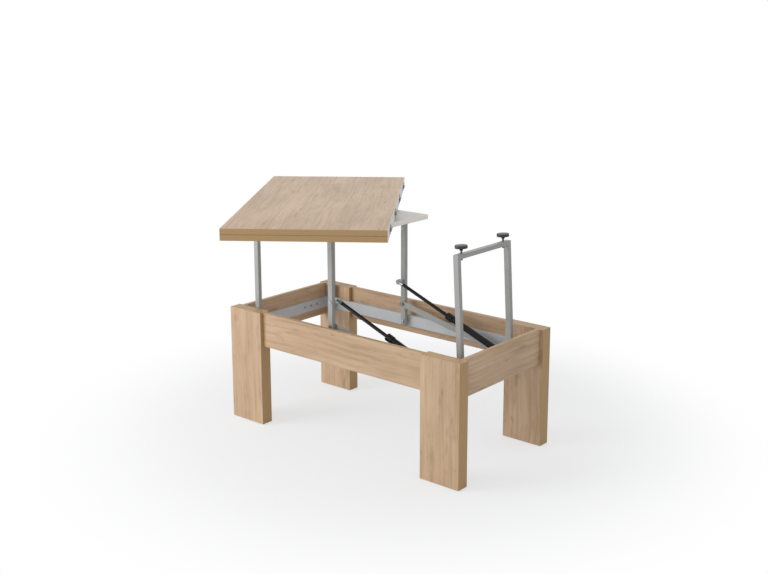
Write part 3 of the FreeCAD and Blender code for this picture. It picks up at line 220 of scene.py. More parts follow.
# %% Oak print
OAK_LIGHT = "#CAAD90"
OAK_MID = "#C2A484"
OAK_DARK = "#B59776"
# Where the outer tones and the middle one lie along the range of the streaks
OAK_ENDS = ((0.1, OAK_DARK), (0.9, OAK_LIGHT))
OAK_MIDDLE = 0.45
# Where the print darkens it also warms: red loses less than blue
OAK_WARMTH = (0.86, 1.02, 1.16)
# The slow noise that bends the layers: how far and how wide
WANDER_MM = 22.0
WANDER_WIDTH_MM = 260.0
# Layer: width in mm, stretch along the grain, detail; then the noise range and the shade that it gives.
# Printed pores are about 0.3 mm wide; the fibres are drawn ten times as wide, so that they show.
OAK_LAYERS = {
    "streak": (9.5, 34.0, 5.0, (0.27, 0.73, 0.0, 1.0)),
    "fibre": (3.0, 30.0, 3.0, (0.30, 0.70, 0.96, 1.04)),
    "crack": (5.0, 7.0, 4.0, (0.655, 0.74, 1.0, 0.50)),
    "knot": (22.0, 4.0, 6.0, (0.58, 0.76, 1.0, 0.70)),
    "cloud": (120.0, 3.0, 3.0, (0.37, 0.63, 0.88, 1.09)),
}


def oak_print(tree, place, grain):
    """Colour, shade and fibre of the print on a board whose grain runs along one axis."""
    drift = add(tree, "ShaderNodeTexNoise",
                {"Vector": place, "Scale": 1 / (WANDER_WIDTH_MM * MM), "Detail": 1.0})
    bent = add(tree, "ShaderNodeVectorMath",
               {0: drift.outputs["Color"], 1: (WANDER_MM * MM,) * 3, 2: place}, operation="MULTIPLY_ADD")
    layers = {}
    for name, (width, stretch, detail, (start, stop, first, last)) in OAK_LAYERS.items():
        drawn = [1 / (width * MM)] * 3
        drawn[grain] /= stretch
        spread = add(tree, "ShaderNodeVectorMath", {0: bent.outputs[0], 1: drawn}, operation="MULTIPLY")
        noise = add(tree, "ShaderNodeTexNoise", {"Vector": spread.outputs[0], "Scale": 1.0, "Detail": detail})
        layers[name] = add(tree, "ShaderNodeMapRange",
                           {"Value": noise.outputs[0], "From Min": start, "From Max": stop,
                            "To Min": first, "To Max": last}).outputs[0]
    tone = add(tree, "ShaderNodeValToRGB", {"Fac": layers["streak"]})
    for element, (position, colour) in zip(tone.color_ramp.elements, OAK_ENDS):
        element.position = position
        element.color = linear(colour)
    tone.color_ramp.elements.new(OAK_MIDDLE).color = linear(OAK_MID)
    shade = layers["fibre"]
    for name in ("crack", "knot", "cloud"):
        shade = add(tree, "ShaderNodeMath", {0: shade, 1: layers[name]}, operation="MULTIPLY").outputs[0]
    warm = add(tree, "ShaderNodeVectorMath",
               {0: shade, 1: OAK_WARMTH, 2: [1 - share for share in OAK_WARMTH]}, operation="MULTIPLY_ADD")
    colour = add(tree, "ShaderNodeVectorMath", {0: tone.outputs[0], 1: warm.outputs[0]}, operation="MULTIPLY")
    return colour.outputs[0], shade, layers["fibre"]


print("layers of the print", len(OAK_LAYERS))

# %% [markdown]
# ## Banded boards
# The narrow faces carry a plainer edge band, glued on after sawing. It could be a thin strip of its own,
# but it lies flush and shows only as another colour, so the shader paints it. The shader finds these
# faces by their distance from the middle of the board, along the board's own axes: the leaves stand
# turned on their swivel and are turned back first. Their hinge edge has a white band.

# %% Material of a board
OAK_BAND = "#B49264"
OAK_WHITE_BAND = "#ECE9E2"
# A face counts as banded up to this far from the end of the board
BAND_CUT_MM = 0.7
# A board starts in the print at this many times its own place
LOT_SHIFT = 7
OAK_BUMP = 0.25
OAK_RELIEF_MM = 0.15
# Roughness on the darkest fibres and on the palest
OAK_ROUGH = (0.46, 0.36)


def oak(node, grain, banded, turn=0.0, white_edge=False):
    """Oak melamine for one board: the axis of its grain, the axes whose end faces are banded, and the
    turn that brings the board's own axes onto X and Y."""
    low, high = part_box(node)
    half = (high - low) / 2
    # A turned board stands in a larger box, so its own half sizes are worked back from that
    wide, deep = half.x, half.y
    half.x = (wide * math.cos(turn) - deep * math.sin(turn)) / math.cos(2 * turn)
    half.y = (deep * math.cos(turn) - wide * math.sin(turn)) / math.cos(2 * turn)
    # Melamine on printed paper: a warm, flat colour under an even satin sheen
    material, output = new_material("oak_melamine_satin_" + node)
    tree = material.node_tree
    place = add(tree, "ShaderNodeTexCoord").outputs["Object"]
    centred = add(tree, "ShaderNodeVectorMath", {0: place, 1: (low + high) / 2}, operation="SUBTRACT")
    own = add(tree, "ShaderNodeMapping", {"Vector": centred.outputs[0], "Rotation": (0, 0, turn)}).outputs[0]
    lot = add(tree, "ShaderNodeVectorMath", {0: own, 1: LOT_SHIFT * (low + high)}, operation="ADD")
    printed, shade, fibre = oak_print(tree, lot.outputs[0], grain)
    band = add(tree, "ShaderNodeVectorMath", {0: linear(OAK_BAND)[:3], "Scale": fibre}, operation="SCALE")
    apart = add(tree, "ShaderNodeSeparateXYZ", {0: own})
    edge = 0.0
    for axis in banded:
        far = add(tree, "ShaderNodeMath", {0: apart.outputs[axis]}, operation="ABSOLUTE")
        face = add(tree, "ShaderNodeMath", {0: far.outputs[0], 1: half[axis] - BAND_CUT_MM * MM},
                   operation="GREATER_THAN")
        edge = add(tree, "ShaderNodeMath", {0: edge, 1: face.outputs[0]}, operation="MAXIMUM").outputs[0]
    colour = add(tree, "ShaderNodeMix",
                 {"Factor": edge, "A": printed, "B": band.outputs[0]}, data_type="RGBA")
    if white_edge:
        face = add(tree, "ShaderNodeMath", {0: apart.outputs["Y"], 1: half.y - BAND_CUT_MM * MM},
                   operation="GREATER_THAN")
        colour = add(tree, "ShaderNodeMix", {"Factor": face.outputs[0], "A": colour.outputs["Result"],
                                             "B": linear(OAK_WHITE_BAND)}, data_type="RGBA")
    bump = add(tree, "ShaderNodeBump",
               {"Height": shade, "Strength": OAK_BUMP, "Distance": OAK_RELIEF_MM * MM})
    darkest, palest = OAK_LAYERS["fibre"][-1][2:]
    dull = add(tree, "ShaderNodeMapRange",
               {"Value": fibre, "From Min": darkest, "From Max": palest,
                "To Min": OAK_ROUGH[0], "To Max": OAK_ROUGH[1]})
    shader = add(tree, "ShaderNodeBsdfPrincipled",
                 {"Base Color": colour.outputs["Result"], "Normal": bump.outputs[0],
                  "Roughness": dull.outputs[0]})
    tree.links.new(shader.outputs[0], output.inputs["Surface"])
    return material


print("edge bands cut at mm", BAND_CUT_MM)

# %% [markdown]
# ## Dressing the boards
# A joiner saws legs and aprons so that the grain runs along each piece. One shared material could not
# follow that, so every board gets its own: the grain goes up the legs and along the aprons and leaves,
# and each board starts at its own place in the print, so no two look alike.

# %% Oak boards
def dress(node, material):
    """Give a CAD node one material in place of the record's."""
    mesh = frame["nodes"][node].data
    mesh.materials.clear()
    mesh.materials.append(material)


X, Y, Z = 0, 1, 2
SIDES = {"front": -1, "rear": 1}
ENDS = {"left": -1, "right": 1}
joints = {joint["name"]: joint for joint in frame["joints"]}
leaf_turn = math.radians(joints["top_swivel"]["range_deg"][1])
for side in SIDES:
    for end in ENDS:
        dress(f"leg_{side}_{end}", oak(f"leg_{side}_{end}", Z, (X, Z)))
    dress(f"apron_{side}", oak(f"apron_{side}", X, (Z,)))
for end in ENDS:
    dress(f"apron_{end}", oak(f"apron_{end}", Y, (Z,)))
for node in ("lower_leaf", "upper_leaf"):
    dress(node, oak(node, X, (X, Y), turn=leaf_turn, white_edge=True))
print("oak boards dressed, leaves turned by", round(math.degrees(leaf_turn), 2))

# %% [markdown]
# ## Paint, plating, plastic and felt
# The other finishes have no direction. Each is a base colour that clouds a little from place to
# place, a gloss that varies with a fine grain, and the relief of that same grain: the orange peel of
# powder coat, the matt bloom of zinc plating, the texture of moulded plastic, the fibres of felt. They
# differ only in numbers, so one function makes them all. A piece made of two materials changes from
# one to the other at a plane across it.

# %% A finish without direction
CLOUDING_MM = 60.0
# Grain and cloud together lie between these two values nearly everywhere
MOTTLE = (0.7, 1.3)
GLOSS_SPREAD = 0.06
GRAIN_BUMP = 0.35


def finish(name, colour, rough, grain_mm, relief_mm, metal=0.0, spread=0.04, tip=None, specular=0.5):
    """Finish whose colour, gloss and relief follow a fine grain and a slow cloud. A tip (axis, height
    along it, colour, metal) is another material past a plane."""
    material, output = new_material(name)
    tree = material.node_tree
    place = add(tree, "ShaderNodeTexCoord").outputs["Object"]
    grain = add(tree, "ShaderNodeTexNoise", {"Vector": place, "Scale": 1 / (grain_mm * MM), "Detail": 3.0})
    cloud = add(tree, "ShaderNodeTexNoise", {"Vector": place, "Scale": 1 / (CLOUDING_MM * MM), "Detail": 2.0})
    both = add(tree, "ShaderNodeMath", {0: grain.outputs[0], 1: cloud.outputs[0]}, operation="ADD").outputs[0]
    mottle = {"Value": both, "From Min": MOTTLE[0], "From Max": MOTTLE[1]}
    tone = add(tree, "ShaderNodeMapRange", {**mottle, "To Min": 1 - spread, "To Max": 1 + spread})
    gloss = add(tree, "ShaderNodeMapRange",
                {**mottle, "To Min": rough - GLOSS_SPREAD, "To Max": rough + GLOSS_SPREAD})
    base = linear(colour)[:3]
    if tip:
        axis, height, tip_colour, tip_metal = tip
        along = add(tree, "ShaderNodeVectorMath", {0: place, 1: axis}, operation="DOT_PRODUCT")
        past = add(tree, "ShaderNodeMath", {0: along.outputs["Value"], 1: height}, operation="GREATER_THAN")
        mixed = add(tree, "ShaderNodeMix",
                    {"Factor": past.outputs[0], "A": linear(colour), "B": linear(tip_colour)},
                    data_type="RGBA")
        base = mixed.outputs["Result"]
        if tip_metal != metal:
            metal = add(tree, "ShaderNodeMapRange",
                        {"Value": past.outputs[0], "To Min": metal, "To Max": tip_metal}).outputs[0]
    tint = add(tree, "ShaderNodeVectorMath", {0: base, "Scale": tone.outputs[0]}, operation="SCALE")
    bump = add(tree, "ShaderNodeBump",
               {"Height": grain.outputs[0], "Strength": GRAIN_BUMP, "Distance": relief_mm * MM})
    shader = add(tree, "ShaderNodeBsdfPrincipled",
                 {"Base Color": tint.outputs[0], "Metallic": metal, "Roughness": gloss.outputs[0],
                  "Normal": bump.outputs[0], "Specular IOR Level": specular})
    tree.links.new(shader.outputs[0], output.inputs["Surface"])
    return material


print("clouds mm", CLOUDING_MM)

# %% [markdown]
# ## Finishes of the hardware
# Tubes are powder coated, pins, bushes and screws zinc plated, hinges and gas springs lacquered. The
# knobs are plastic, the glides nylon, the pads felt and the dowels beech. The solids already name the
# material of each piece, so the pieces aren't listed here: each one looks up its finish by that name.

# %% Finishes of the hardware
# Powder coat: an even grey with fine orange peel
silver = finish("steel_silver_powder_coat", "#A2A3A0", rough=0.42, grain_mm=0.9, relief_mm=0.05, metal=0.1)
# Zinc plate: metal bright, slightly blue, clouded by the bath
ZINC = "#A6A9AB"
zinc = finish("steel_bright_zinc_plate", ZINC, rough=0.33, grain_mm=0.5, relief_mm=0.02, metal=1.0,
              spread=0.10)
# Lacquer: deep black with a broad soft highlight
black = finish("steel_black_lacquer", "#0E0E0F", rough=0.42, grain_mm=1.2, relief_mm=0.03, specular=0.2)
# Moulded nylon: milky white, faintly glossy
nylon = finish("nylon_natural_white", "#E4E2DA", rough=0.45, grain_mm=0.8, relief_mm=0.03)
# Turned beech: pale and dry, with small darker flecks
beech = finish("beech_raw_turned", "#D2B48C", rough=0.6, grain_mm=1.5, relief_mm=0.08, spread=0.08)
# Grey lacquer: darker than the tubes, half metal, so that the hinges stand out from the white edge
hinge_grey = finish("steel_grey_lacquer", "#7A7A78", rough=0.4, grain_mm=0.8, relief_mm=0.03, metal=0.4)
# Moulded ABS: a warm dark brown with a satin sheen on its faces and rims
brown = finish("abs_brown_moulded", "#3C342A", rough=0.38, grain_mm=0.7, relief_mm=0.05, spread=0.05)
# Felt: no gloss at all, a soft mottled grey
felt = finish("wool_felt_grey", "#77746E", rough=0.9, grain_mm=0.5, relief_mm=0.4, spread=0.15)
finishes = {
    "beech": beech,
    "silver_paint": silver,
    "zinc_steel": zinc,
    "dark_hinge_steel": hinge_grey,
    "black_paint": black,
    "brown_plastic": brown,
    "white_nylon": nylon,
    "felt": felt,
}
for subpart in frame["record"]["subparts"]:
    if subpart["material_slot"] in finishes:
        dress(subpart["node"], finishes[subpart["material_slot"]])
print("finishes", len(finishes))

# %% [markdown]
# ## Rails, rods and the white board
# The angle rails have a lighter coat than the tubes. A piston rod is nitrided black and ends in a zinc
# plated fitting at the arm, and the white board under the top is painted greyer, as painted shade from the
# leaf above, with a lighter cream band at one end. Such a piece could be cut in two, but its solid stays as
# it is, so the material changes at a plane instead, measured from the end of the solid along its axis.

# %% Rails, rods and the white board
CREAM_BAND_MM = 1.0
ROD_FITTING_MM = 31.0


def span(node, axis):
    """Lowest and highest place of a CAD node along an axis."""
    heights = [vertex.co.dot(axis) for vertex in frame["nodes"][node].data.vertices]
    return min(heights), max(heights)


long_way = Vector((1, 0, 0))
cream_band = (long_way, span("carrier_board", long_way)[1] - CREAM_BAND_MM * MM, "#F5F2E8", 0.0)
# White melamine, even and satin, greyed as painted shade of the leaf above; a lighter, warmer band at the support
# frame end
white_board_painted_shade = finish("white_melamine_painted_shade_cream_band", "#D5D2CB", rough=0.42, grain_mm=1.4, relief_mm=0.03,
                     spread=0.015, tip=cream_band)
dress("carrier_board", white_board_painted_shade)
# Lighter powder coat: sets the flat rails apart from the tubes
rail_coat = finish("steel_light_grey_powder_coat", "#C3C7C9", rough=0.42, grain_mm=0.9, relief_mm=0.05,
                   metal=0.1)
for node in ("rail_front", "rail_rear", "cross_rail_left", "cross_rail_right"):
    dress(node, rail_coat)
gas_axis = Vector(joints["gas_front_stroke"]["axis"])
rod_tip = (gas_axis, span("gas_rod_front", gas_axis)[1] - ROD_FITTING_MM * MM, ZINC, 1.0)
# Nitrided steel: near black with a thin highlight, then the bright clouded zinc of the fitting
rod_steel = finish("steel_black_nitride_zinc_end", "#0D0D0E", rough=0.36, grain_mm=0.6, relief_mm=0.01,
                   spread=0.06, tip=rod_tip, specular=0.2)
for side in SIDES:
    dress(f"gas_rod_{side}", rod_steel)
print("rod fitting from", round(rod_tip[1], 4))

# %% [markdown]
# ## Tools for the small pieces
# Most small hardware is turned or moulded, so it starts as an outline spun about an axis. A cylinder
# with its edges moved about would do too, but an outline in millimetres reads like the drawing of the
# piece and always closes. Shapes are made upright at the origin, where sizes are easy to read, and then
# turned and moved to their place on the table.

# %% Spin and place
# Sizes of small pieces, here and below, are in millimetres
ROUND_STEPS = 32
# Points closer than this are one point, in metres
MERGE = 0.001 * MM
# Cosine above which two directions count as the same
ALIKE = 0.9


def everything(shape):
    """All vertices, edges and faces of a shape, as the cutting operator wants them."""
    return shape.verts[:] + shape.edges[:] + shape.faces[:]


def spun(outline, steps=ROUND_STEPS):
    """Body of revolution about Z from (radius, height) points."""
    shape = bmesh.new()
    points = [shape.verts.new((radius * MM, 0, height * MM)) for radius, height in outline]
    edges = [shape.edges.new(pair) for pair in zip(points, points[1:])]
    bmesh.ops.spin(shape, geom=points + edges, axis=(0, 0, 1), cent=(0, 0, 0), angle=math.tau,
                   steps=steps, use_merge=True)
    bmesh.ops.remove_doubles(shape, verts=shape.verts, dist=MERGE)
    return shape


def placed(shape, centre, axis):
    """Set a shape with its Z along an axis, and its X along the table or, failing that, upright."""
    axis = Vector(axis).normalized()
    across = Vector((0, 0, 1)) if abs(axis.x) > ALIKE else Vector((1, 0, 0))
    across = (across - across.project(axis)).normalized()
    turn = Matrix((across, axis.cross(across), axis)).transposed().to_4x4()
    bmesh.ops.transform(shape, matrix=Matrix.Translation(centre) @ turn, verts=shape.verts)
    return shape


def slid(point, axis, height):
    """The point moved along an axis to a height along it."""
    return point + axis * (height - point.dot(axis))


print("points merge below m", MERGE)

# %% [markdown]
# ## Collecting a piece
# A fitting often comes several times, such as the screws of the rails. Each could be an object, but what
# moves together and looks the same is easier to handle as one. So a piece collects its shapes in one
# mesh, smooth but for its sharp edges, and rides on the body that carries it.

# %% Collect
SHARP = math.radians(35)


def piece(name, body, shapes, material, slot, *nodes):
    """One object from placed shapes. It rides on a body and may stand for CAD nodes."""
    whole = bmesh.new()
    for shape in shapes:
        bmesh.ops.recalc_face_normals(shape, faces=shape.faces)
        part = bpy.data.meshes.new(name)
        shape.to_mesh(part)
        shape.free()
        whole.from_mesh(part)
        bpy.data.meshes.remove(part)
    for face in whole.faces:
        face.smooth = True
    for edge in whole.edges:
        edge.smooth = edge.is_manifold and edge.calc_face_angle() < SHARP
    open_edges = sum(not edge.is_manifold for edge in whole.edges)
    mesh = bpy.data.meshes.new(name)
    whole.to_mesh(mesh)
    whole.free()
    mesh.materials.append(material)
    made = bpy.data.objects.new(name, mesh)
    bpy.context.collection.objects.link(made)
    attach(made, body)
    if nodes:
        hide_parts(*nodes)
    print(name, "faces", len(mesh.polygons), "open edges", open_edges)


print("edges sharp from degrees", round(math.degrees(SHARP)))

# %% [markdown]
# ## Places from the solids
# The places of nuts and screws could be typed in, but then they would stay behind if the table changed.
# The solids know them: a node is split into its separate solids, and the corners of each one tell
# where the fitting sits and how long it is.

# %% Measure the solids
def solids(node):
    """Points of each separate solid in a CAD node, in a fixed order."""
    copy = bmesh.new()
    copy.from_mesh(frame["nodes"][node].data)
    bmesh.ops.remove_doubles(copy, verts=copy.verts, dist=MERGE)
    waiting = set(copy.verts)
    found = []
    while waiting:
        front = {waiting.pop()}
        solid = set(front)
        while front:
            front = {edge.other_vert(vert) for vert in front for edge in vert.link_edges} & waiting
            waiting -= front
            solid |= front
        found.append([vert.co.copy() for vert in solid])
    copy.free()
    return sorted(found, key=lambda points: [round(min(place), 5) for place in zip(*points)])


def corners(points):
    """Lowest and highest corner of some points."""
    return Vector(map(min, zip(*points))), Vector(map(max, zip(*points)))


print("pivot nuts", len(solids("arm_pivot_nuts")), "rail screws", len(solids("rail_screws")))

# %% [markdown]
# ## Threaded levelling studs
# The knobs stand on M8 studs that screw into the crossbar. A thread is one ridge carried up a helix:
# the spin operator does that when each step also rises a little. Neighbouring turns share their edges,
# so merging doubles closes the surface, and two cuts give it square ends.

# %% Levelling studs
THREAD_RADIUS = 4.0
THREAD_PITCH = 1.25
THREAD_DEPTH = 0.6
THREAD_STEPS = 20
# Turns that the ridge starts below the foot, and turns to spare; the cuts take them off again
THREAD_START = -1.53
THREAD_SPARE = 3


def threaded(length):
    """Threaded rod along Z, from the origin up to a length."""
    turns = math.ceil(length / THREAD_PITCH) + THREAD_SPARE
    root = THREAD_RADIUS - THREAD_DEPTH
    ridge = ((root, THREAD_START), (THREAD_RADIUS, THREAD_START + 0.5), (root, THREAD_START + 1))
    shape = bmesh.new()
    points = [shape.verts.new((radius * MM, 0, turn * THREAD_PITCH * MM)) for radius, turn in ridge]
    edges = [shape.edges.new(pair) for pair in zip(points, points[1:])]
    bmesh.ops.spin(shape, geom=points + edges, axis=(0, 0, 1), cent=(0, 0, 0), angle=math.tau * turns,
                   steps=THREAD_STEPS * turns, dvec=(0, 0, THREAD_PITCH * MM / THREAD_STEPS))
    bmesh.ops.remove_doubles(shape, verts=shape.verts, dist=MERGE)
    for height, away in ((0.0, -1), (length * MM, 1)):
        bmesh.ops.bisect_plane(shape, geom=everything(shape), plane_co=(0, 0, height), plane_no=(0, 0, away),
                               clear_outer=True)
    bmesh.ops.holes_fill(shape, edges=[edge for edge in shape.edges if edge.is_boundary])
    return shape


knob_axis = Vector(joints["knob_front_screw"]["axis"])
stud_middles = {}
for side in SIDES:
    node = f"levelling_stud_{side}"
    low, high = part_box(node)
    start, stop = span(node, knob_axis)
    stud_middles[side] = (low + high) / 2
    foot = slid(stud_middles[side], knob_axis, start)
    stud = placed(threaded((stop - start) / MM), foot, knob_axis)
    piece(f"threaded_stud_{side}", f"knob_{side}", [stud], zinc, "zinc_steel", node)

# %% [markdown]
# ## Levelling knobs
# Each stud ends in a knob: a thick brown disc that carries the open leaf, moulded round a black neck that
# grips the stud. In the solids it is one turned shape. Here disc and neck are spun apart, so that each
# has its own plastic, and the rims of the disc are bevelled, because a mould leaves no sharp edge.

# %% Levelling knobs
KNOB_RADIUS = 20.0
DISC_THICK = 10.0
DISC_ROUND = 1.6
DISC_STEPS = 64
NECK_RADIUS = 5.5
NECK_FLARE = 7.7
# Share of the neck below its flare
NECK_STRAIGHT = 1 / 3
# The stud's hole has a little play and ends at this height above the foot of the neck
STUD_HOLE = THREAD_RADIUS + 0.05
STUD_HOLE_END = 9.1
# Two places this close count as the same
NEAR = 0.1


def knob_disc(bottom, top):
    """Disc along Z between two heights, with a blind hole for the stud."""
    shape = spun([(0, STUD_HOLE_END), (STUD_HOLE, STUD_HOLE_END), (STUD_HOLE, bottom), (KNOB_RADIUS, bottom),
                  (KNOB_RADIUS, top), (0, top)], DISC_STEPS)
    rims = []
    for edge in shape.edges:
        radii = [vert.co.xy.length / MM for vert in edge.verts]
        rise = abs(edge.verts[0].co.z - edge.verts[1].co.z) / MM
        if min(radii) > KNOB_RADIUS - NEAR and rise < NEAR:
            rims.append(edge)
    bmesh.ops.bevel(shape, geom=rims, offset=DISC_ROUND * MM, segments=4, profile=0.5, affect="EDGES",
                    material=-1)
    return shape


# Moulded ABS, black: the neck stays dark beside the bright stud
neck_black = finish("abs_black_moulded", "#161514", rough=0.45, grain_mm=0.7, relief_mm=0.05, spread=0.05,
                    specular=0.3)
for side in SIDES:
    node = f"levelling_knob_{side}"
    start, stop = span(node, knob_axis)
    foot = slid(stud_middles[side], knob_axis, start)
    height = (stop - start) / MM
    bottom = height - DISC_THICK
    neck = spun([(STUD_HOLE, 0), (NECK_RADIUS, 0), (NECK_RADIUS, bottom * NECK_STRAIGHT),
                 (NECK_FLARE, bottom), (STUD_HOLE, bottom), (STUD_HOLE, 0)])
    disc = placed(knob_disc(bottom, height), foot, knob_axis)
    piece(f"knob_disc_{side}", f"knob_{side}", [disc], brown, "brown_plastic", node)
    piece(f"knob_neck_{side}", f"knob_{side}", [placed(neck, foot, knob_axis)], neck_black, "black_paint")

# %% [markdown]
# ## Lock nuts of the arm pivots
# A nut is turned from hexagon bar. Here the turning comes first, a ring with chamfered rims, and six
# cuts make the flats, which gives the curved edge where chamfer and flat meet. A nylon collar at the
# end of the nut grips the stud, so the pivot can turn without working loose.

# %% Lock nuts
NUT_FLATS = 13.0
NUT_BORE = 4.0
NUT_STEEL = 4.9
NUT_STEPS = 48
# Radius of the flat face inside the chamfer, as a share of the width over the flats
NUT_FACE = 0.475
NUT_CHAMFER = math.radians(30)
COLLAR_RADIUS = 5.5
COLLAR_CHAMFER = 0.5


def lock_nut():
    """Steel of a lock nut along Z from the origin, a chamfered hexagon with two corners on X."""
    corner = NUT_FLATS / math.sqrt(3)
    rim = NUT_FACE * NUT_FLATS
    slope = (corner - rim) * math.tan(NUT_CHAMFER)
    shape = spun([(NUT_BORE, 0), (rim, 0), (corner, slope), (corner, NUT_STEEL - slope), (rim, NUT_STEEL),
                  (NUT_BORE, NUT_STEEL), (NUT_BORE, 0)], NUT_STEPS)
    for degrees in range(30, 360, 60):
        angle = math.radians(degrees)
        away = Vector((math.cos(angle), math.sin(angle), 0))
        cut = bmesh.ops.bisect_plane(shape, geom=everything(shape), plane_co=away * NUT_FLATS / 2 * MM,
                                     plane_no=away, clear_outer=True)
        rim_edges = [item for item in cut["geom_cut"] if isinstance(item, bmesh.types.BMEdge)]
        bmesh.ops.holes_fill(shape, edges=rim_edges)
    return shape


nuts = []
collars = []
for points in solids("arm_pivot_nuts"):
    low, high = corners(points)
    inward = -1 if low.y > 0 else 1
    height = (high.y - low.y) / MM
    seat = (low + high) / 2 - Vector((0, inward * height * MM / 2, 0))
    nuts.append(placed(lock_nut(), seat, (0, inward, 0)))
    collar = spun([(NUT_BORE, NUT_STEEL), (COLLAR_RADIUS, NUT_STEEL),
                   (COLLAR_RADIUS, height - COLLAR_CHAMFER), (COLLAR_RADIUS - COLLAR_CHAMFER, height),
                   (NUT_BORE, height), (NUT_BORE, NUT_STEEL)])
    collars.append(placed(collar, seat, (0, inward, 0)))
piece("pivot_lock_nuts", "base", nuts, zinc, "zinc_steel", "arm_pivot_nuts")
piece("pivot_nut_collars", "base", collars, nylon, "white_nylon")

# %% [markdown]
# ## Cross-head screws
# Rails and clevis brackets are held by pan-head wood screws. The domed head is spun with its shank,
# then eight cuts draw the cross on the dome, and the faces inside it are pushed down to make the
# recess. A boolean with a cross-shaped tool would do too, but cuts leave cleaner faces on the dome.

# %% One screw
# Radius and height, from the tip of the shank to the top of the head
SCREW_OUTLINE = ((0.0, -14.6), (2.0, -11.6), (2.0, -2.6), (4.5, -2.6), (4.5, -1.5), (4.1, -0.8),
                 (3.2, -0.25), (1.8, 0.0), (0.0, 0.0))
SCREW_STEPS = 24
RECESS_REACH = 2.4
RECESS_WIDTH = 0.9
RECESS_DEPTH = 1.3
# Faces that look up more than this are on the dome
DOME_UP = 0.3


def screw():
    """Pan-head screw along Z, its head at the origin."""
    shape = spun(SCREW_OUTLINE, SCREW_STEPS)
    for away in (Vector((1, 0, 0)), Vector((0, 1, 0))):
        for offset in (-RECESS_REACH, -RECESS_WIDTH / 2, RECESS_WIDTH / 2, RECESS_REACH):
            bmesh.ops.bisect_plane(shape, geom=everything(shape), plane_co=away * offset * MM, plane_no=away)
    bmesh.ops.recalc_face_normals(shape, faces=shape.faces)
    slots = []
    for face in shape.faces:
        spot = face.calc_center_median() / MM
        near, far = sorted((abs(spot.x), abs(spot.y)))
        if face.normal.z > DOME_UP and near < RECESS_WIDTH / 2 and far < RECESS_REACH:
            slots.append(face)
    sunk = bmesh.ops.extrude_face_region(shape, geom=slots)
    floor_verts = [item for item in sunk["geom"] if isinstance(item, bmesh.types.BMVert)]
    bmesh.ops.translate(shape, verts=floor_verts, vec=(0, 0, -RECESS_DEPTH * MM))
    bmesh.ops.delete(shape, geom=slots, context="FACES")
    return shape


print("screw length mm", SCREW_OUTLINE[-1][1] - SCREW_OUTLINE[0][1])

# %% [markdown]
# ## Screws in their places
# A screw points in whatever direction its rail or bracket needs. Each screw of the solids says where its
# head is and which way it faces: it is longest along its axis, and its widest points lie at the head.

# %% Screws of rails and brackets
# Points further out than this share of the widest are on the rim of the head
HEAD_SHARE = 0.9


def head_of(points):
    """Middle of a screw's head and the way that it faces."""
    low, high = corners(points)
    middle = (low + high) / 2
    sides = high - low
    long = max(range(3), key=lambda axis: sides[axis])
    along = Vector([float(axis == long) for axis in range(3)])
    reach = [(point - middle - (point - middle).project(along)).length for point in points]
    widest = max(reach)
    rim = [point for point, out in zip(points, reach) if out > HEAD_SHARE * widest]
    facing = math.copysign(1, sum((point - middle).dot(along) for point in rim))
    return middle + along * facing * sides[long] / 2, along * facing


for name, body, node in (("rail_cross_head_screws", "base", "rail_screws"),
                         ("bracket_cross_head_screws", "carrier", "bracket_screws")):
    screws = [placed(screw(), *head_of(points)) for points in solids(node)]
    piece(name, body, screws, zinc, "zinc_steel", node)

# %% [markdown]
# ## Weld beads
# The frame of rails, the end brackets and the support shaft are welded, then coated. A bead is a row of
# small overlapping ripples: a straight one is a rippled rod, half sunk in its corner, and one round the
# shaft is a ring with a wavy rim. A bump map could fake both, but a bead also shows in outline. Both
# are spun, and both wear the coat of the steel they join.

# %% Bead and ring
BEAD_RADIUS = 2.0
BEAD_VALLEY = 0.86 * BEAD_RADIUS
# Length from a crest to the next valley
BEAD_STEP = 2.2
BEAD_SIDES = 12
SHAFT_RADIUS = 7.0
RING_REACH = 2.0
# How far the bulge of the ring stands off the shaft and off the face
RING_BULGE = (1.4, 1.2)
RING_WAVES = 18
RING_WAVE_HEIGHT = 0.25
STEPS_PER_WAVE = 4


def bead(length):
    """Rippled bead along Z from the origin."""
    count = 2 * round(length / BEAD_STEP / 2)
    ripple = [(BEAD_RADIUS if step % 2 else BEAD_VALLEY, (step + 0.5) * length / count)
              for step in range(count)]
    return spun([(0.0, 0.0)] + ripple + [(0.0, length)], BEAD_SIDES)


def ring():
    """Bead round the shaft along Z, on a face at the origin."""
    out, rise = RING_BULGE
    shape = spun([(SHAFT_RADIUS, 0), (SHAFT_RADIUS + RING_REACH, 0), (SHAFT_RADIUS + out, rise),
                  (SHAFT_RADIUS, RING_REACH), (SHAFT_RADIUS, 0)], STEPS_PER_WAVE * RING_WAVES)
    for vert in shape.verts:
        flat = Vector((vert.co.x, vert.co.y, 0))
        if flat.length > (SHAFT_RADIUS + NEAR) * MM:
            wave = RING_WAVE_HEIGHT * math.cos(RING_WAVES * math.atan2(vert.co.y, vert.co.x))
            vert.co += flat.normalized() * wave * MM
    return shape


print("bead width mm", 2 * BEAD_RADIUS, "ring reach mm", RING_REACH)

# %% [markdown]
# ## Welds of the rails
# The cross rails meet the long rails in four upright corners, and each end bracket stands on the right
# cross rail with a bead on either side. The beads stop short of the edges, where a welder stops too.

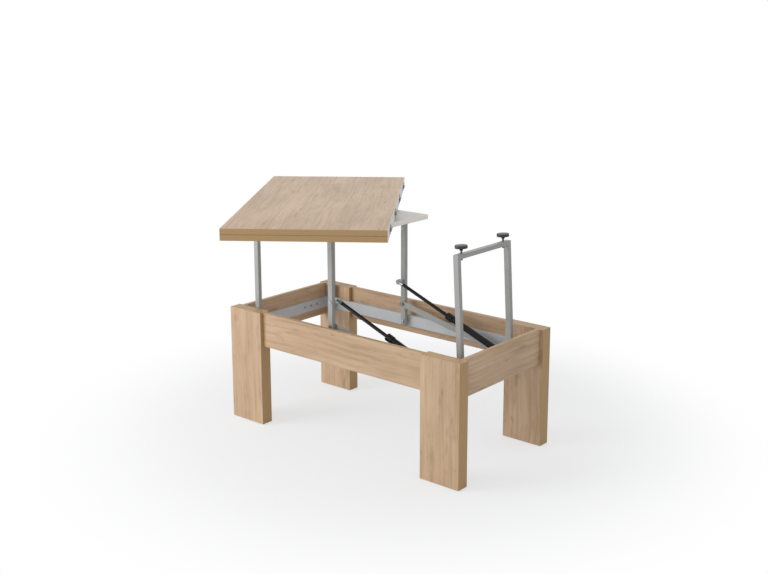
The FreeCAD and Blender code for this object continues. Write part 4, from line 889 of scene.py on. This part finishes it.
# %% Beads of rails and brackets
rail_beads = []
rail_low, rail_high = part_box("cross_rail_right")
length = (rail_high.z - rail_low.z) / MM - 2 * BEAD_RADIUS
for end in ENDS.values():
    for face_y in (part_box("rail_front")[1].y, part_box("rail_rear")[0].y):
        foot = Vector((end * rail_low.x, face_y, rail_low.z + BEAD_RADIUS * MM))
        rail_beads.append(placed(bead(length), foot, (0, 0, 1)))
for side in SIDES:
    low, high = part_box(f"end_bracket_{side}")
    start = max(low.z, rail_low.z) + BEAD_RADIUS * MM
    stop = min(high.z, rail_high.z) - BEAD_RADIUS * MM
    for face_y in (low.y, high.y):
        rail_beads.append(placed(bead((stop - start) / MM), Vector((rail_low.x, face_y, start)), (0, 0, 1)))
piece("rail_weld_beads", "base", rail_beads, rail_coat, "silver_paint")

# %% [markdown]
# ## Welds of the support shaft
# The shaft runs through the uprights of the support frame and carries a lever at each end. It is
# welded to them all round, so a ring sits on the outer face of each upright and on the inner face of
# each lever, and turns with them.

# %% Beads of the shaft
pivot = Vector(joints["support_fold"]["pos_m"])
shaft_beads = []
tube_faces = []
for points in solids("support_levers"):
    low, high = corners(points)
    inner = low.y if low.y > 0 else high.y
    tube_faces.append((inner, -math.copysign(1, inner)))
frame_low, frame_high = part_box("support_frame")
for side in SIDES.values():
    tube_faces.append((frame_high.y if side > 0 else frame_low.y, side))
for face_y, way in tube_faces:
    shaft_beads.append(placed(ring(), Vector((pivot.x, face_y, pivot.z)), (0, way, 0)))
piece("shaft_weld_beads", "support", shaft_beads, silver, "silver_paint")

# %% [markdown]
# ## Tube plugs
# Cut tubes are closed with moulded plugs, pressed in after coating. A plug is a thin cap as wide as the
# tube, with rounded rims, on a stem that grips inside it. The cap is a box with bevelled edges, and the
# stem is the inset middle of its upper face, drawn out.

# %% Tube plugs
TUBE_WIDTH = 20.0
TUBE_DEPTH = 15.0
CAP_THICK = 1.6
CAP_ROUND = 0.7
STEM_INSET = 2.0
STEM_LENGTH = 8.0


def plug():
    """Tube plug along Z: the cap below the origin, the stem above it."""
    shape = bmesh.new()
    bmesh.ops.create_cube(shape, size=1.0)
    bmesh.ops.scale(shape, vec=(TUBE_WIDTH * MM, TUBE_DEPTH * MM, CAP_THICK * MM), verts=shape.verts)
    bmesh.ops.translate(shape, vec=(0, 0, -CAP_THICK / 2 * MM), verts=shape.verts)
    upper = [face for face in shape.faces if face.normal.z > ALIKE]
    rims = [edge for edge in shape.edges if upper[0] not in edge.link_faces]
    bmesh.ops.inset_region(shape, faces=upper, thickness=STEM_INSET * MM)
    drawn = bmesh.ops.extrude_face_region(shape, geom=upper)
    top = [item for item in drawn["geom"] if isinstance(item, bmesh.types.BMVert)]
    bmesh.ops.translate(shape, vec=(0, 0, STEM_LENGTH * MM), verts=top)
    bmesh.ops.delete(shape, geom=upper, context="FACES")
    bmesh.ops.bevel(shape, geom=rims, offset=CAP_ROUND * MM, segments=3, profile=0.5, affect="EDGES",
                    material=-1)
    return shape


# Polypropylene: matt black with a fine moulded grain
plug_black = finish("polypropylene_black_matt", "#1D1C1B", rough=0.55, grain_mm=0.6, relief_mm=0.05)
for side in SIDES:
    for end in ENDS:
        low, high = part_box(f"lift_arm_{side}_{end}")
        foot = Vector(((low.x + high.x) / 2, (low.y + high.y) / 2, low.z))
        arm_plug = placed(plug(), foot, (0, 0, 1))
        piece(f"arm_plug_{side}_{end}", f"arm_{side}_{end}", [arm_plug], plug_black, "black_paint")
upright_plugs = []
for side in SIDES.values():
    face_y = frame_high.y if side > 0 else frame_low.y
    foot = slid(pivot, knob_axis, span("support_frame", knob_axis)[0])
    foot.y = face_y - side * TUBE_DEPTH / 2 * MM
    upright_plugs.append(placed(plug(), foot, knob_axis))
piece("upright_plugs", "support", upright_plugs, plug_black, "black_paint")

# %% [markdown]
# ## Wiper seals
# Where the piston rod enters the gas spring, a rubber lip keeps dust out. It is a ring with a sloping
# lip that all but touches the rod. A torus would look too soft, so its outline is spun about the axis of
# the spring and set on the mouth of the cylinder, which carries it while the rod slides through.

# %% Wiper seals
# Radius and height, once round the section
SEAL_OUTLINE = ((6.05, 0.0), (10.5, 0.0), (10.5, 1.2), (9.6, 2.2), (7.4, 2.6), (6.05, 3.6), (6.05, 0.0))

# Rubber: nearly black, dull, with a soft grey bloom
rubber = finish("nitrile_rubber_black_dull", "#1A1A1B", rough=0.7, grain_mm=0.8, relief_mm=0.04, spread=0.08)
for side in SIDES:
    anchor = Vector(joints[f"gas_{side}_swing"]["pos_m"])
    mouth = slid(anchor, gas_axis, span(f"gas_cylinder_{side}", gas_axis)[1])
    seal = placed(spun(SEAL_OUTLINE), mouth, gas_axis)
    piece(f"wiper_seal_{side}", f"gas_cylinder_{side}", [seal], rubber, "black_paint")
